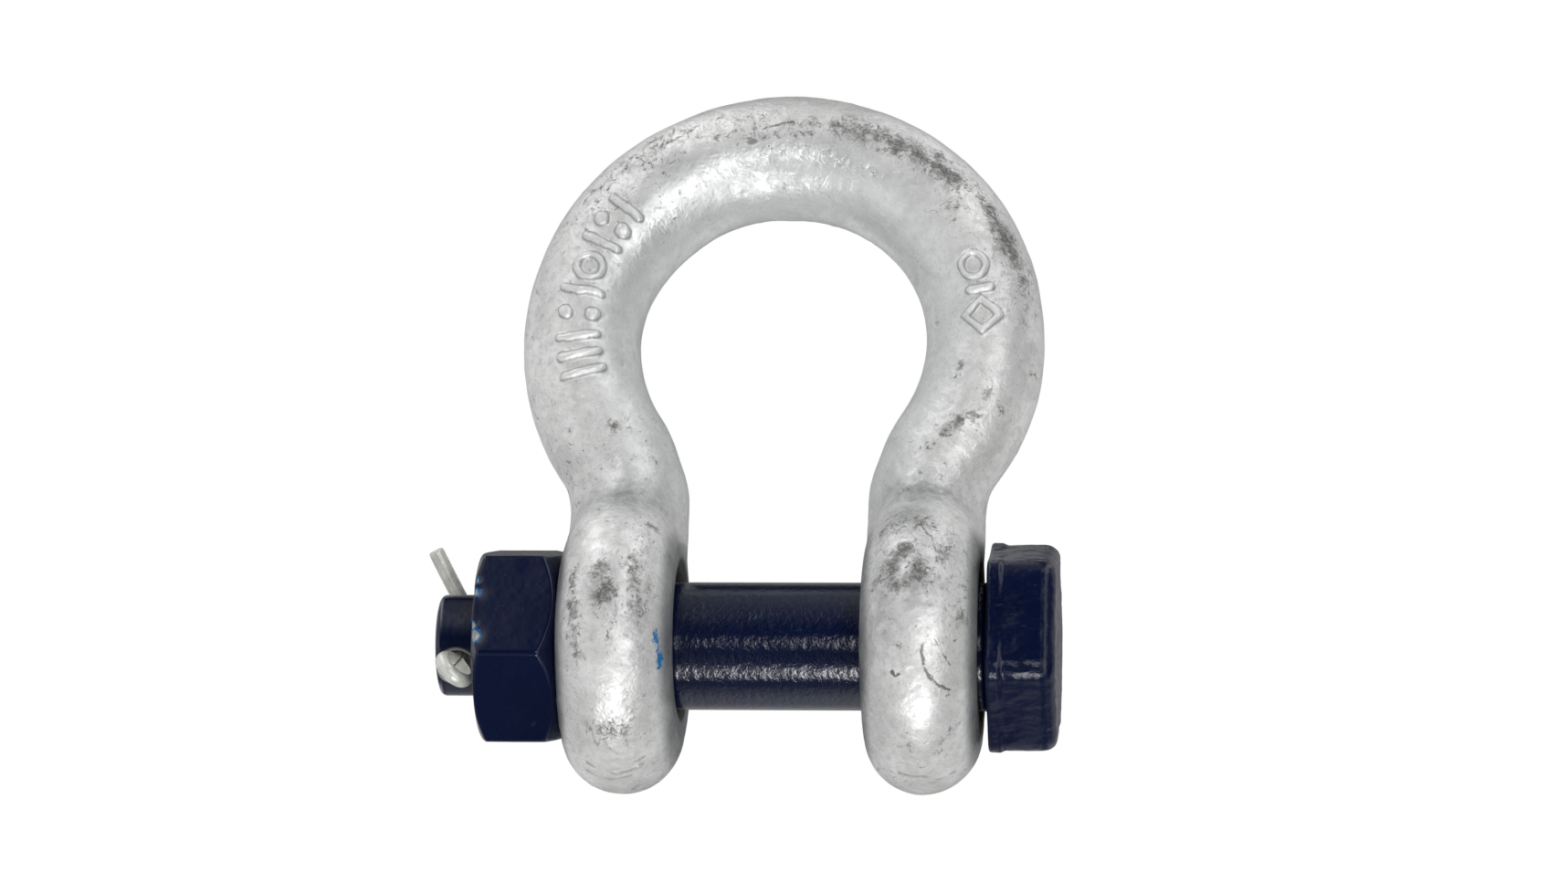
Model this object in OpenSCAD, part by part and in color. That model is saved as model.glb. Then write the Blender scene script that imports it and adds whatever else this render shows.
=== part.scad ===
// Bow shackle with a bolt, nut and split pin.
// Origin: on the bolt's axis, midway between the two ears.
// +X points to the bolt's head, +Z to the crown of the bow, -Y to the front.
// The bolt hangs at the bottom of its two eye holes, as it does at rest.

/* [Bow] */
// Clear gap between the two ears, which is the jaw of the shackle
jaw = 32.2; // [28:0.1:36]
// Thickness of each ear along the bolt
ear_t = 20.1; // [18:0.1:22]
// Radius of the rounded ear about the bolt
ear_r = 25.7; // [24:0.1:28]
// Diameter of the eye hole through each ear
eye_d = 24.6; // [24:0.1:26]
// Radius of the crown's centreline
crown_r = 35.9; // [34:0.1:38]
// Height of the crown's centre above the bolt
crown_z = 56.4; // [54:0.1:60]
// Radius of the reverse bend between each leg and the crown
reverse_r = 24; // [20:0.5:32]
// Diameter of the bar at the top of the crown
bar_crown_d = 22.4; // [20:0.1:24]
// Diameter of the bar at the widest part of the bow
bar_side_d = 20.7; // [19:0.1:22]
// Diameter of the bar where it meets the ears
bar_leg_d = 19.8; // [19:0.1:19.9]
// Radius of the hollow between each ear and its leg
neck_r = 6.5; // [5:0.5:9]

/* [Bolt] */
// Diameter of the bolt's shank
shank_d = 22.2; // [21:0.1:22.4]
// Gap between the head and the ear beside it
head_gap = 1.5; // [0.5:0.1:3]
// Width of the head across its flats
head_af = 33; // [31:0.1:36]
// Thickness of the head
head_t = 12.0; // [10:0.1:15]
// Turn of the head's corners, in degrees
head_turn = 0; // [-30:1:30]
// Height of the forged lip round the head's inner edge
head_lip = 0.45; // [0.1:0.05:0.8]
// Diameter of the turned end that carries the split pin
tail_d = 17.6; // [16:0.1:18]
// Length of the turned end beyond the thread
tail_l = 7.4; // [7:0.1:10]
// Diameter of the cross hole for the split pin
cross_d = 6.1; // [5:0.1:6.5]
// Tilt of the cross hole below the front of the bolt, in degrees
cross_tilt = 45; // [40:1:50]

/* [Thread] */
// Distance from one thread crest to the next
pitch = 2.82; // [2:0.01:3]
// Depth of the thread
thread_h = 1.75; // [1.2:0.05:1.8]
// Clearance between the two threads, on the radius
thread_gap = 0.18; // [0.1:0.01:0.25]

/* [Nut] */
// Width of the nut across its flats
nut_af = 32.3; // [30:0.1:36]
// Thickness of the nut
nut_t = 14.4; // [12:0.1:15]
// Turn of the nut's flats, in degrees
nut_turn = 22; // [-30:1:30]
// Gap between the nut and the ear beside it
nut_gap = 0.1; // [0.05:0.05:0.5]

/* [Split pin] */
// Diameter of the two half-round legs laid together
wire_d = 2.9; // [2.4:0.1:3.2]
// Outside diameter of the split pin's eye
loop_d = 7.5; // [7.2:0.1:8.5]
// Tilt of the split pin below the front of the bolt, in degrees
pin_tilt = 39; // [38:1:45]
// Turn of the eye about the split pin's own length, in degrees
loop_turn = -43; // [-50:1:-35]
// Free travel of the split pin along its own length
pin_play = 1.0; // [0.5:0.1:1.5]

/* [Hidden] */
$fn = 72;

bow_color = [0.71, 0.72, 0.72];
bolt_color = [0.07, 0.09, 0.17];      // bolt and nut alike
pin_color = [0.62, 0.62, 0.6];

hole_over = 2;                        // how far a hole's cutter runs past each end

// Places along X
ear_x = jaw / 2 + ear_t / 2;          // centre plane of each ear
ear_out = jaw / 2 + ear_t;            // outer face of each ear
head_x = ear_out + head_gap;          // the head's inner face
nut_x = -ear_out - nut_gap;           // the nut's inner face
tail_x = nut_x - nut_t;               // where the turned end begins
end_x = tail_x - tail_l;              // the bolt's far end
cross_shift = 0.05;                   // cross hole's offset from mid-tail, to the head
cross_x = tail_x - tail_l / 2 + cross_shift;

// ---- Bow ----

rim_r = ear_t / 2;                    // the ear's rim is a full round
core_r = ear_r - rim_r;               // centre of that round, from the ear's centre
rest_gap = 0.03;                      // left between the bolt and the hole's bottom
eye_z = (eye_d - shank_d) / 2 - rest_gap;
eye_lead = 1.6;                       // length and flare of the cone at each eye mouth

// Hollow between ear and leg, in the plane of the ear
neck_t = bar_leg_d + 0.1;             // the neck is a little thicker than the bar
neck_sink = 0.15;                     // how far the hollow bites into the ear's outline
neck_y = neck_t / 2 + neck_r;
neck_z = sqrt(pow(ear_r - neck_sink + neck_r, 2) - neck_y * neck_y);
neck_a = atan2(neck_z, neck_y);

// Bend where the leg turns into the crown
bend_a = acos((ear_x + reverse_r) / (crown_r + reverse_r));
bend_z = crown_z - (crown_r + reverse_r) * sin(bend_a);

// The bar's foot sits inside the neck
foot_z = neck_z - 2;
foot_r = bar_leg_d / 2 - 0.4;

steps_leg = 2;
steps_reverse = 7;
steps_crown = 24;
leg_step = 0.8;                       // rise from one leg station to the next
leg_top = foot_z + steps_leg * leg_step;
reverse_a = asin(min(1, max(0, (leg_top - bend_z) / reverse_r)));
reverse_swell = 1.5;                  // full side size is reached at 1 / this of the bend
crown_swell = 1.3;                    // power of the bar's growth up the crown
bar_sides = 28;                       // corners of each ring round the bar

// Bar radius on the crown, at an angle above the crown's centre
function crown_bar_r(a) = a < 0 ? bar_side_d / 2
    : bar_side_d / 2 + (bar_crown_d - bar_side_d) / 2 * pow(a / 90, crown_swell);

// Centreline of the right half of the bow, foot to top.
// Columns: x, z, turn about Y in degrees, bar radius
half_path = concat(
    // short straight foot
    [for (i = [0 : steps_leg - 1])
        [ear_x, foot_z + i * leg_step, 0, foot_r]],
    // reverse bend above the foot
    [for (i = [1 : steps_reverse])
        let (k = i / steps_reverse,
             a = reverse_a + (bend_a - reverse_a) * k)
        [ear_x + reverse_r - reverse_r * cos(a),
         bend_z + reverse_r * sin(a),
         a,
         foot_r + (bar_side_d / 2 - foot_r) * min(1, reverse_swell * k)]],
    // crown, up to its top
    [for (i = [1 : steps_crown])
        let (a = -bend_a + (90 + bend_a) * i / steps_crown)
        [crown_r * cos(a), crown_z + crown_r * sin(a), -a, crown_bar_r(a)]]);

// The whole centreline: the right half, then its mirror image from the top down
path = concat(half_path,
    [for (i = [len(half_path) - 2 : -1 : 0])
        let (station = half_path[i])
        [-station[0], station[1], 180 - station[2], station[3]]]);

// Ring of points round the bar at a station of the path
function ring(station) =
    let (turn = station[2], r = station[3])
    [for (j = [0 : bar_sides - 1])
        let (q = 360 * j / bar_sides, across = r * cos(q))
        [station[0] + across * cos(turn), r * sin(q), station[1] - across * sin(turn)]];

module bar_sweep() {
    last = len(path) - 1;
    points = [for (station = path) each ring(station)];
    sides = [for (i = [0 : last - 1], j = [0 : bar_sides - 1])
        let (k = (j + 1) % bar_sides, low = i * bar_sides, high = low + bar_sides)
        [low + j, high + j, high + k, low + k]];
    first_cap = [for (j = [0 : bar_sides - 1]) j];
    last_cap = [for (j = [bar_sides - 1 : -1 : 0]) last * bar_sides + j];
    polyhedron(points = points, faces = concat(sides, [first_cap], [last_cap]));
}

// One ear with its neck, as a plate with rounded edges, on the plane X = 0
module ear() {
    rim_x = core_r * cos(neck_a);
    rim_y = core_r * sin(neck_a);
    rotate([90, 0, 90]) {
        // round ear
        rotate_extrude() union() {
            translate([core_r, 0]) circle(r = rim_r);
            translate([0, -rim_r]) square([core_r, 2 * rim_r]);
        }
        // middle of the neck
        translate([0, 0, -neck_t / 2]) linear_extrude(neck_t) difference() {
            polygon([[0, neck_z], [rim_x, rim_y], [0, 0], [-rim_x, rim_y]]);
            for (s = [-1, 1])
                translate([s * neck_y, neck_z]) circle(r = neck_y);
        }
        // rounded sides of the neck
        for (s = [0, 1])
            mirror([s, 0, 0]) translate([neck_y, neck_z, 0]) rotate([0, 0, 180])
                rotate_extrude(angle = neck_a)
                    translate([neck_y, 0]) circle(r = neck_t / 2);
    }
}

// Cutter for one eye hole, with a small lead at each mouth
module eye_cutter() {
    rotate([0, 90, 0])
        cylinder(d = eye_d, h = ear_t + 2 * hole_over, center = true);
    for (s = [-1, 1])
        translate([s * ear_t / 2, 0, 0]) rotate([0, 90 * s, 0])
            translate([0, 0, -eye_lead / 2])
                cylinder(r1 = eye_d / 2, r2 = eye_d / 2 + eye_lead, h = eye_lead);
}

module bow() {
    color(bow_color) difference() {
        union() {
            bar_sweep();
            for (s = [-1, 1]) translate([s * ear_x, 0, 0]) ear();
        }
        for (s = [-1, 1]) translate([s * ear_x, 0, eye_z]) eye_cutter();
    }
}

// ---- Thread and hexagons, shared by bolt and nut ----

// Both threads share their rings, counted from the nut's inner face outwards
thread_spare = 1;                     // added to the nut's thickness when counting rings
thread_n = floor((nut_t + thread_spare) / pitch);
thread_first = (nut_t - thread_n * pitch) / 2;

// Solid of ringed thread along Z: n rings from the height first, plain outside them
module ringed_rod(crest_r, root_r, z0, z1, first, n) {
    flat = pitch / 8;                 // half the width of each crest and root
    rotate_extrude() polygon(concat(
        [[0, z0], [crest_r, z0]],
        [for (i = [0 : n - 1])
            let (z = first + i * pitch)
            each [[crest_r, z + flat],
                  [root_r, z + pitch / 2 - flat],
                  [root_r, z + pitch / 2 + flat],
                  [crest_r, z + pitch - flat]]],
        [[crest_r, z1], [0, z1]]));
}

// Hexagon prism across its flats, with its corners turned off
module hex_block(af, h, corner) {
    corner_r = af / 2 / cos(30);
    intersection() {
        cylinder(r = corner_r, h = h, $fn = 6);
        cylinder(r = corner_r - corner, h = h);
    }
}

// ---- Bolt ----

thread_in = pitch - thread_first + 0.3;   // the thread runs a little into the ear
thread_end_cone = 1;                  // length of the cone at the thread's end
thread_end_step = 0.45;               // that cone's small end stands this proud of the tail
tail_chamfer = 1;
tail_overlap = 0.1;                   // tail's overlap with the thread
shank_overlap = 2;                    // shank's overlap with the head
head_corner = 0.45;                   // turned off the head's corners
head_cone_r = 20;                     // wide radius of the cone at the head's outer edge
head_cone_h = 2.2;                    // height of that cone
head_cone_inset = 0.8;                // its narrow radius, inside the flats
lip_h = 2.4;                          // the lip's extent along the bolt
lip_corner = 0.6;                     // turned off the lip's corners

// Thread drawn as rings along Z from the nut's inner face, its end turned to a cone
module bolt_thread() {
    intersection() {
        ringed_rod(crest_r = shank_d / 2, root_r = shank_d / 2 - thread_h,
            z0 = -thread_in, z1 = nut_t + 2,
            first = thread_first - pitch, n = thread_n + 1);
        rotate_extrude() polygon([
            [0, -thread_in - 1],
            [shank_d, -thread_in - 1],
            [shank_d, nut_t - thread_end_cone],
            [shank_d / 2, nut_t - thread_end_cone],
            [tail_d / 2 + thread_end_step, nut_t],
            [0, nut_t]]);
    }
}

// Head along Z from its inner face, with a lip there and a coned outer edge
module bolt_head() {
    intersection() {
        hex_block(head_af, head_t, head_corner);
        rotate_extrude() polygon([
            [0, 0],
            [head_cone_r, 0],
            [head_cone_r, head_t - head_cone_h],
            [head_af / 2 - head_cone_inset, head_t],
            [0, head_t]]);
    }
    hex_block(head_af + 2 * head_lip, lip_h, lip_corner);
}

module bolt() {
    shank_x = nut_x + thread_in;
    color(bolt_color) difference() {
        union() {
            // shank
            translate([shank_x, 0, 0]) rotate([0, 90, 0])
                cylinder(d = shank_d, h = head_x + shank_overlap - shank_x);
            translate([nut_x, 0, 0]) rotate([0, -90, 0]) bolt_thread();
            // turned end and its chamfer
            translate([end_x + tail_chamfer, 0, 0]) rotate([0, 90, 0])
                cylinder(d = tail_d, h = tail_l - tail_chamfer + tail_overlap);
            translate([end_x, 0, 0]) rotate([0, 90, 0])
                cylinder(d1 = tail_d - 2 * tail_chamfer, d2 = tail_d, h = tail_chamfer);
            translate([head_x, 0, 0]) rotate([head_turn, 0, 0]) rotate([0, 90, 0])
                bolt_head();
        }
        // cross hole for the split pin
        translate([cross_x, 0, 0]) rotate([90 + cross_tilt, 0, 0])
            cylinder(d = cross_d, h = shank_d + 2 * hole_over, center = true);
    }
}

// ---- Nut ----

nut_corner = 0.5;                     // turned off the nut's corners
nut_wide_r = nut_af / 2 + 3;          // wide radius of both corner cones
nut_in_r = nut_af / 2 - 0.3;          // narrow radius of the cone at the inner face
nut_in_h = 2.8;                       // height of that cone
nut_out_r = nut_af / 2 + 0.1;         // narrow radius of the cone at the outer face
nut_out_h = 1.7;                      // height of that cone
bore_over = 0.5;                      // how far the bore's cutter runs past each face

module nut() {
    bore_r = shank_d / 2 + thread_gap;
    color(bolt_color) translate([nut_x, 0, 0]) rotate([nut_turn, 0, 0])
        rotate([0, -90, 0]) rotate([0, 0, 30]) difference() {
            intersection() {
                hex_block(nut_af, nut_t, nut_corner);
                // both faces are turned to a cone at the corners
                rotate_extrude() polygon([
                    [0, 0],
                    [nut_in_r, 0],
                    [nut_wide_r, nut_in_h],
                    [nut_wide_r, nut_t - nut_out_h],
                    [nut_out_r, nut_t],
                    [0, nut_t]]);
            }
            translate([0, 0, -bore_over])
                ringed_rod(crest_r = bore_r, root_r = bore_r - thread_h,
                    z0 = 0, z1 = nut_t + 2 * bore_over,
                    first = thread_first + bore_over, n = thread_n);
        }
}

// ---- Split pin ----

leg_gap = 0.1;                        // gap between the two flat sides
strip = (wire_d - leg_gap) / 2;       // thickness of one half-round leg
bend_r = 1.9;                         // radius of each leg's bend
seam = 0.04;                          // overlap where pieces of a leg meet
stub_l = 0.6;                         // start of each bent leg inside the cross hole
loop_z = tail_d / 2 + 2.8;            // the eye's centre along the pin
back_z = -(tail_d / 2 + pin_play + 0.1);  // where the legs begin to bend

// Bent legs. Columns: turn about the pin, bend angle, straight run after the bend
bent_legs = [
    [117, 84, 12.8],                  // up and outward
    [-84, 66, 7.2]];                  // down behind the bolt

// Half of a round bar along Z, its flat side facing -X
module half_bar(h) {
    intersection() {
        cylinder(d = wire_d, h = h);
        translate([leg_gap / 2, -wire_d, -1]) cube([wire_d, 2 * wire_d, h + 2]);
    }
}

// A half-round leg bent through an angle towards +X, then straight for a length.
// It starts at the origin, heading down -Z, with its flat side at -X.
module bent_leg(angle, run) {
    translate([bend_r, 0, 0]) {
        rotate([90, 0, 0]) rotate([0, 0, 180])
            rotate_extrude(angle = angle)
                translate([bend_r, 0]) intersection() {
                    circle(d = wire_d);
                    translate([-wire_d - leg_gap / 2, -wire_d])
                        square([wire_d, 2 * wire_d]);
                }
        rotate([0, -angle, 0]) translate([-bend_r, 0, -run]) half_bar(run + seam);
    }
}

// Eye: a closed ring of half-round wire, flat side inwards
module pin_eye() {
    rotate([90, 0, 0]) rotate_extrude() intersection() {
        translate([(loop_d - wire_d) / 2, 0]) circle(d = wire_d);
        translate([loop_d / 2 - strip, -wire_d]) square([strip * 1.2, 2 * wire_d]);
    }
}

module split_pin() {
    // the straight legs run a little into the eye's wire
    straight_l = loop_z - back_z - loop_d / 2 + strip * 0.7;
    color(pin_color) translate([cross_x, 0, 0]) rotate([90 + pin_tilt, 0, 0]) {
        rotate([0, 0, loop_turn]) {
            translate([0, 0, loop_z]) pin_eye();
            for (s = [0, 1])
                rotate([0, 0, 180 * s]) translate([0, 0, back_z]) half_bar(straight_l);
        }
        for (leg = bent_legs)
            translate([0, 0, back_z]) rotate([0, 0, leg[0]]) {
                bent_leg(angle = leg[1], run = leg[2]);
                translate([0, 0, -seam]) half_bar(stub_l + seam);
            }
    }
}

bow();
bolt();
nut();
split_pin();
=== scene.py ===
"""A galvanised bow shackle with a painted safety bolt, its nut and a split pin.

The bow stands in the XZ plane with its crown up (+Z) and its front towards -Y. The bolt lies
along X through the eyes at the origin's height: head at +X (right), nut and pin at -X (left).
Sizes are in millimetres unless a comment says otherwise; MM turns them into metres.
"""
import math
from functools import cached_property, reduce

import bmesh
import bpy
import numpy as np
from mathutils import Matrix, Vector


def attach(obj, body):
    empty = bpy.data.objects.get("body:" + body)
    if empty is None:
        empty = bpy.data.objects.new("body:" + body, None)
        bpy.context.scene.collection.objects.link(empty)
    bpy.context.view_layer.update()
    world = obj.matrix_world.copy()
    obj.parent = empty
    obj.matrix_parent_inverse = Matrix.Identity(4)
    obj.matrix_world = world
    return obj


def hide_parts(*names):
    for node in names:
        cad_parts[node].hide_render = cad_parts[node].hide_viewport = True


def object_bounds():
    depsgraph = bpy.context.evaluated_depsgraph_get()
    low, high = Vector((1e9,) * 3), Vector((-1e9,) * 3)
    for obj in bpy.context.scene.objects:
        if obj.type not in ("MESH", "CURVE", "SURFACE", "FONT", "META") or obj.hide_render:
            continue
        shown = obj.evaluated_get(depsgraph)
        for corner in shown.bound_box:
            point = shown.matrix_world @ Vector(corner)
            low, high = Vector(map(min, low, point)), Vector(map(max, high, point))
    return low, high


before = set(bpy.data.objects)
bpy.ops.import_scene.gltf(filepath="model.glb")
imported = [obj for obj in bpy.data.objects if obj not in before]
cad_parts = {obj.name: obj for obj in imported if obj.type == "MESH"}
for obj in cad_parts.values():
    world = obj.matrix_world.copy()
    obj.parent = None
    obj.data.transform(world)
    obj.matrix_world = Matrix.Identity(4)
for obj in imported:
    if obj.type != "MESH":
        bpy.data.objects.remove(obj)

cad_lo, cad_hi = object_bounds()
MM = 0.001
rad = math.radians

# ------------------------------------------------------------------ sizes
# bow
JAW = 32.2                  # gap between the ears
EAR_THICK = 20.1
EAR_R = 25.7
EYE_R = 24.6 / 2            # hole through each ear
SHANK_R = 22.2 / 2          # the bolt's shank, resting low in the eyes
CROWN_R = 35.9              # of the bar's centreline
CROWN_Z = 56.4
BEND_R = 24.0               # reverse bend between crown and leg
BAR_CROWN = 22.4            # bar diameters
BAR_SIDE = 20.7
BAR_LEG = 19.95
EAR_X = JAW / 2 + EAR_THICK / 2
EAR_OUT = JAW / 2 + EAR_THICK
EYE_Z = EYE_R - SHANK_R - 0.03
BEND_ANGLE = math.acos((EAR_X + BEND_R) / (CROWN_R + BEND_R))
BEND_Z = CROWN_Z - (CROWN_R + BEND_R) * math.sin(BEND_ANGLE)

# bolt head and nut
HEAD_X = EAR_OUT + 1.5
HEAD_THICK = 12.0
HEAD_FLATS = 33.0           # across flats
HEAD_TURN = rad(-90)        # where a corner of the head points, from +Y towards +Z
NUT_X = -EAR_OUT - 0.1
NUT_THICK = 14.4
NUT_FLATS = 32.3
NUT_TURN = rad(180 + 22)

# plain end of the bolt, with its cross hole and the split pin
TAIL_X = NUT_X - NUT_THICK
END_X = TAIL_X - 7.4
TAIL_R = 8.8
CROSS_X = TAIL_X - 3.65
CROSS_R = 3.05
CROSS_TILT = 45.0           # degrees, of the hole
PIN_TILT = 39.0             # degrees, of the pin in it

# thread, made of separate rings
PITCH = 2.82
THREAD_DEPTH = 1.75
THREAD_GAP = 0.18
THREAD_COUNT = int((NUT_THICK + 1) / PITCH)
THREAD_FIRST = (NUT_THICK - THREAD_COUNT * PITCH) / 2      # from the nut's inner face


# ------------------------------------------------------------------ noise and blending
def hash01(ix, iy, iz, seed):
    """A repeatable value from 0 to 1 for each whole-number cell."""
    with np.errstate(over="ignore"):
        bits = (ix.astype(np.uint32) * np.uint32(374761393)
                + iy.astype(np.uint32) * np.uint32(668265263)
                + iz.astype(np.uint32) * np.uint32(1442695041)
                + np.uint32((seed * 2654435769) & 0xFFFFFFFF))
        bits = (bits ^ (bits >> np.uint32(13))) * np.uint32(1274126177)
        bits = (bits ^ (bits >> np.uint32(15))) * np.uint32(2246822519)
        bits = bits ^ (bits >> np.uint32(16))
    return bits.astype(np.float64) / 4294967295.0


def value_noise(points, scale, seed):
    scaled = points / scale
    cell = np.floor(scaled).astype(np.int64)
    part = scaled - cell
    part = part * part * part * (part * (part * 6 - 15) + 10)
    total = np.zeros(len(points))
    for corner in np.ndindex(2, 2, 2):
        weight = np.where(corner, part, 1 - part).prod(1)
        total += weight * hash01(*(cell + corner).T, seed)
    return total * 2 - 1


def fbm(points, scale, seed, octaves):
    """Noise from -1 to 1, summed over octaves of half the size and half the strength."""
    out, strength, total = np.zeros(len(points)), 1.0, 0.0
    for k in range(octaves):
        out += strength * value_noise(points + 17.3 * k, scale / 2 ** k, seed + 31 * k)
        total += strength
        strength *= 0.5
    return out / total


def fbm3(points, scale, seed, octaves):
    return np.stack([fbm(points, scale, seed + k, octaves) for k in range(3)], 1)


def cells(points, size, seed, share):
    """Distance to the nearest scattered point, in cell sizes, and that point's random value.

    share is how many cells hold a point.
    """
    scaled = points / size
    cell = np.floor(scaled).astype(np.int64)
    nearest, value = np.full(len(points), 9.0), np.zeros(len(points))
    for offset in np.ndindex(3, 3, 3):
        other = cell + offset - 1
        draws = [hash01(*other.T, seed + k) for k in range(1, 6)]
        centre = other + 0.15 + 0.7 * np.stack(draws[:3], 1)
        distance = np.linalg.norm(scaled - centre, axis=1)
        distance = np.where(draws[4] < share, distance, 9.0)
        closer = distance < nearest
        nearest = np.where(closer, distance, nearest)
        value = np.where(closer, draws[3], value)
    return nearest, value


def smooth(start, end, value):
    """0 at start, 1 at end, eased; start may be the larger."""
    k = np.clip((value - start) / (end - start), 0, 1)
    return k * k * (3 - 2 * k)


def smooth_min(a, b, radius):
    k = np.clip(0.5 + 0.5 * (b - a) / radius, 0, 1)
    return b * (1 - k) + a * k - radius * k * (1 - k)


def smooth_max(a, b, radius):
    return -smooth_min(-a, -b, radius)


def bell(*offsets):
    """Bell curve: 1 where every offset is 0."""
    return np.exp(-sum(offset ** 2 for offset in offsets))


def spot(points, centre, size):
    return bell(*((points - centre) / size).T)


def line_distance(points, line):
    """Distance from each point to a chain of straight lines, or to a single point."""
    line = np.array(line, float)
    if len(line) == 1:
        return np.linalg.norm(points - line[0], axis=1)
    nearest = np.full(len(points), 1e3)
    for start, end in zip(line[:-1], line[1:]):
        span = end - start
        k = np.clip((points - start) @ span / (span @ span), 0, 1)
        offset = points - start - k[:, None] * span
        nearest = np.minimum(nearest, np.linalg.norm(offset, axis=1))
    return nearest


def traced(points, rows):
    """Strongest of the soft lines in rows of (line, half-width, amount)."""
    return reduce(np.maximum, (amount * bell(line_distance(points, line) / width)
                               for line, width, amount in rows))


# ------------------------------------------------------------------ mesh tools
def link_object(name, data):
    ob = bpy.data.objects.new(name, data)
    bpy.context.scene.collection.objects.link(ob)
    return ob


def shade_smooth(mesh):
    mesh.polygons.foreach_set("use_smooth", [True] * len(mesh.polygons))


def make_mesh(name, points, faces):
    """A mesh in metres from points in millimetres."""
    mesh = bpy.data.meshes.new(name)
    mesh.from_pydata((points * MM).tolist(), [], faces)
    mesh.update()
    return mesh


def add_piece(name, mesh, body):
    """Puts a mesh in the scene in place of the CAD body it rides on."""
    shade_smooth(mesh)
    ob = link_object(name, mesh)
    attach(ob, body)
    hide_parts(body)
    return ob


def read_vectors(items, attribute):
    values = np.zeros(len(items) * 3)
    items.foreach_get(attribute, values)
    return values.reshape(-1, 3)


def coords(mesh):
    return read_vectors(mesh.vertices, "co")


def vertex_normals(mesh):
    return read_vectors(mesh.vertex_normals, "vector")


def set_coords(mesh, positions):
    mesh.vertices.foreach_set("co", np.ascontiguousarray(positions, np.float32).ravel())
    mesh.update()


def float_attributes(mesh, **fields):
    for name, values in fields.items():
        attribute = mesh.attributes.new(name, "FLOAT", "POINT")
        attribute.data.foreach_set("value", np.asarray(values, np.float32))


def evaluated_mesh(ob):
    depsgraph = bpy.context.evaluated_depsgraph_get()
    return bpy.data.meshes.new_from_object(ob.evaluated_get(depsgraph))


def voxel_copy(node, size):
    """A copy of a CAD node's mesh, in millimetres, remeshed to even quads."""
    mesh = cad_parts[node].data.copy()
    mesh.transform(Matrix.Scale(1000.0, 4))
    bm = bmesh.new()
    bm.from_mesh(mesh)
    bmesh.ops.remove_doubles(bm, verts=bm.verts, dist=1e-4)
    bm.to_mesh(mesh)
    bm.free()
    ob = link_object("remesh", mesh)
    remesh = ob.modifiers.new("remesh", "REMESH")
    remesh.mode = "VOXEL"
    remesh.voxel_size = size
    out = evaluated_mesh(ob)
    bpy.data.objects.remove(ob)
    return out


def gradient(field, points):
    step = 0.02
    return np.stack([(field(points + shift) - field(points - shift)) / (2 * step)
                     for shift in np.eye(3) * step], 1)


def project(field, points, steps):
    """Moves points on to the surface where field is 0; returns them and its normals."""
    for _ in range(steps):
        slope = gradient(field, points)
        steepness = np.maximum((slope * slope).sum(1), 0.05)
        points = points - slope * np.clip(field(points) / steepness, -0.8, 0.8)[:, None]
    slope = gradient(field, points)
    return points, slope / np.maximum(np.linalg.norm(slope, axis=1), 1e-6)[:, None]


# ------------------------------------------------------------------ bow shape
def bar_section(points):
    """Distance to the bar's centreline in the XZ plane, and the bar's radius there."""
    far = 1e3
    leg_foot = 20.0
    x, z = np.abs(points[:, 0]), points[:, 2]
    angle = np.arctan2(z - CROWN_Z, x)
    crown = np.where(angle >= -BEND_ANGLE, np.abs(np.hypot(x, z - CROWN_Z) - CROWN_R), far)
    rise = np.clip(angle / (math.pi / 2), 0, 1)
    crown_bar = BAR_SIDE / 2 + (BAR_CROWN - BAR_SIDE) / 2 * rise ** 1.3
    bend_x = EAR_X + BEND_R - x
    angle = np.arctan2(z - BEND_Z, bend_x)
    bend = np.where((angle >= 0) & (angle <= BEND_ANGLE),
                    np.abs(np.hypot(bend_x, z - BEND_Z) - BEND_R), far)
    bend_bar = BAR_LEG / 2 + (BAR_SIDE - BAR_LEG) / 2 * smooth(0, 1, angle / BEND_ANGLE)
    leg = np.hypot(x - EAR_X, np.maximum(leg_foot - z, 0))
    leg = np.where(z <= BEND_Z, leg, far)
    nearest = np.minimum(np.minimum(crown, bend), leg)
    radius = np.where(nearest == crown, crown_bar, np.where(nearest == bend, bend_bar, BAR_LEG / 2))
    return nearest, radius


def bow_distance(points):
    """Signed distance to the bow's smooth surface."""
    x, y, z = points.T
    distance, radius = bar_section(points)
    # uneven forging: the left shoulder is fuller, the right one stands a little proud
    angle = np.arctan2(z - CROWN_Z, x)
    radius = (radius + 0.35 * bell((angle - rad(138)) / 0.45)
              + 0.1 * bell((angle - rad(45)) / 0.4))
    bar = np.hypot(distance, y) - radius
    # each ear is a disc blended into a stem, rounded about its middle plane
    disc = np.hypot(y, z) - (EAR_R - EAR_THICK / 2)
    stem = np.hypot(y, np.maximum(z - 27.0, 0)) + np.maximum(-z, 0) * 1.6
    outline = smooth_min(disc, stem, 8.5)
    ear = np.hypot(np.maximum(outline, 0), np.abs(x) - EAR_X) - (EAR_THICK / 2 - 0.02)
    eye = EYE_R - np.hypot(y, z - EYE_Z)
    return smooth_max(smooth_min(bar, ear, 1.6), eye, 2.2)


def crown_polar(points):
    """Degrees round the crown's centre, -90 to 270, and mm outwards from its centreline."""
    x, z = points[:, 0], points[:, 2] - CROWN_Z
    angle = np.degrees(np.arctan2(z, x))
    return np.where(angle < -90, angle + 360, angle), np.hypot(x, z) - CROWN_R


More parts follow.
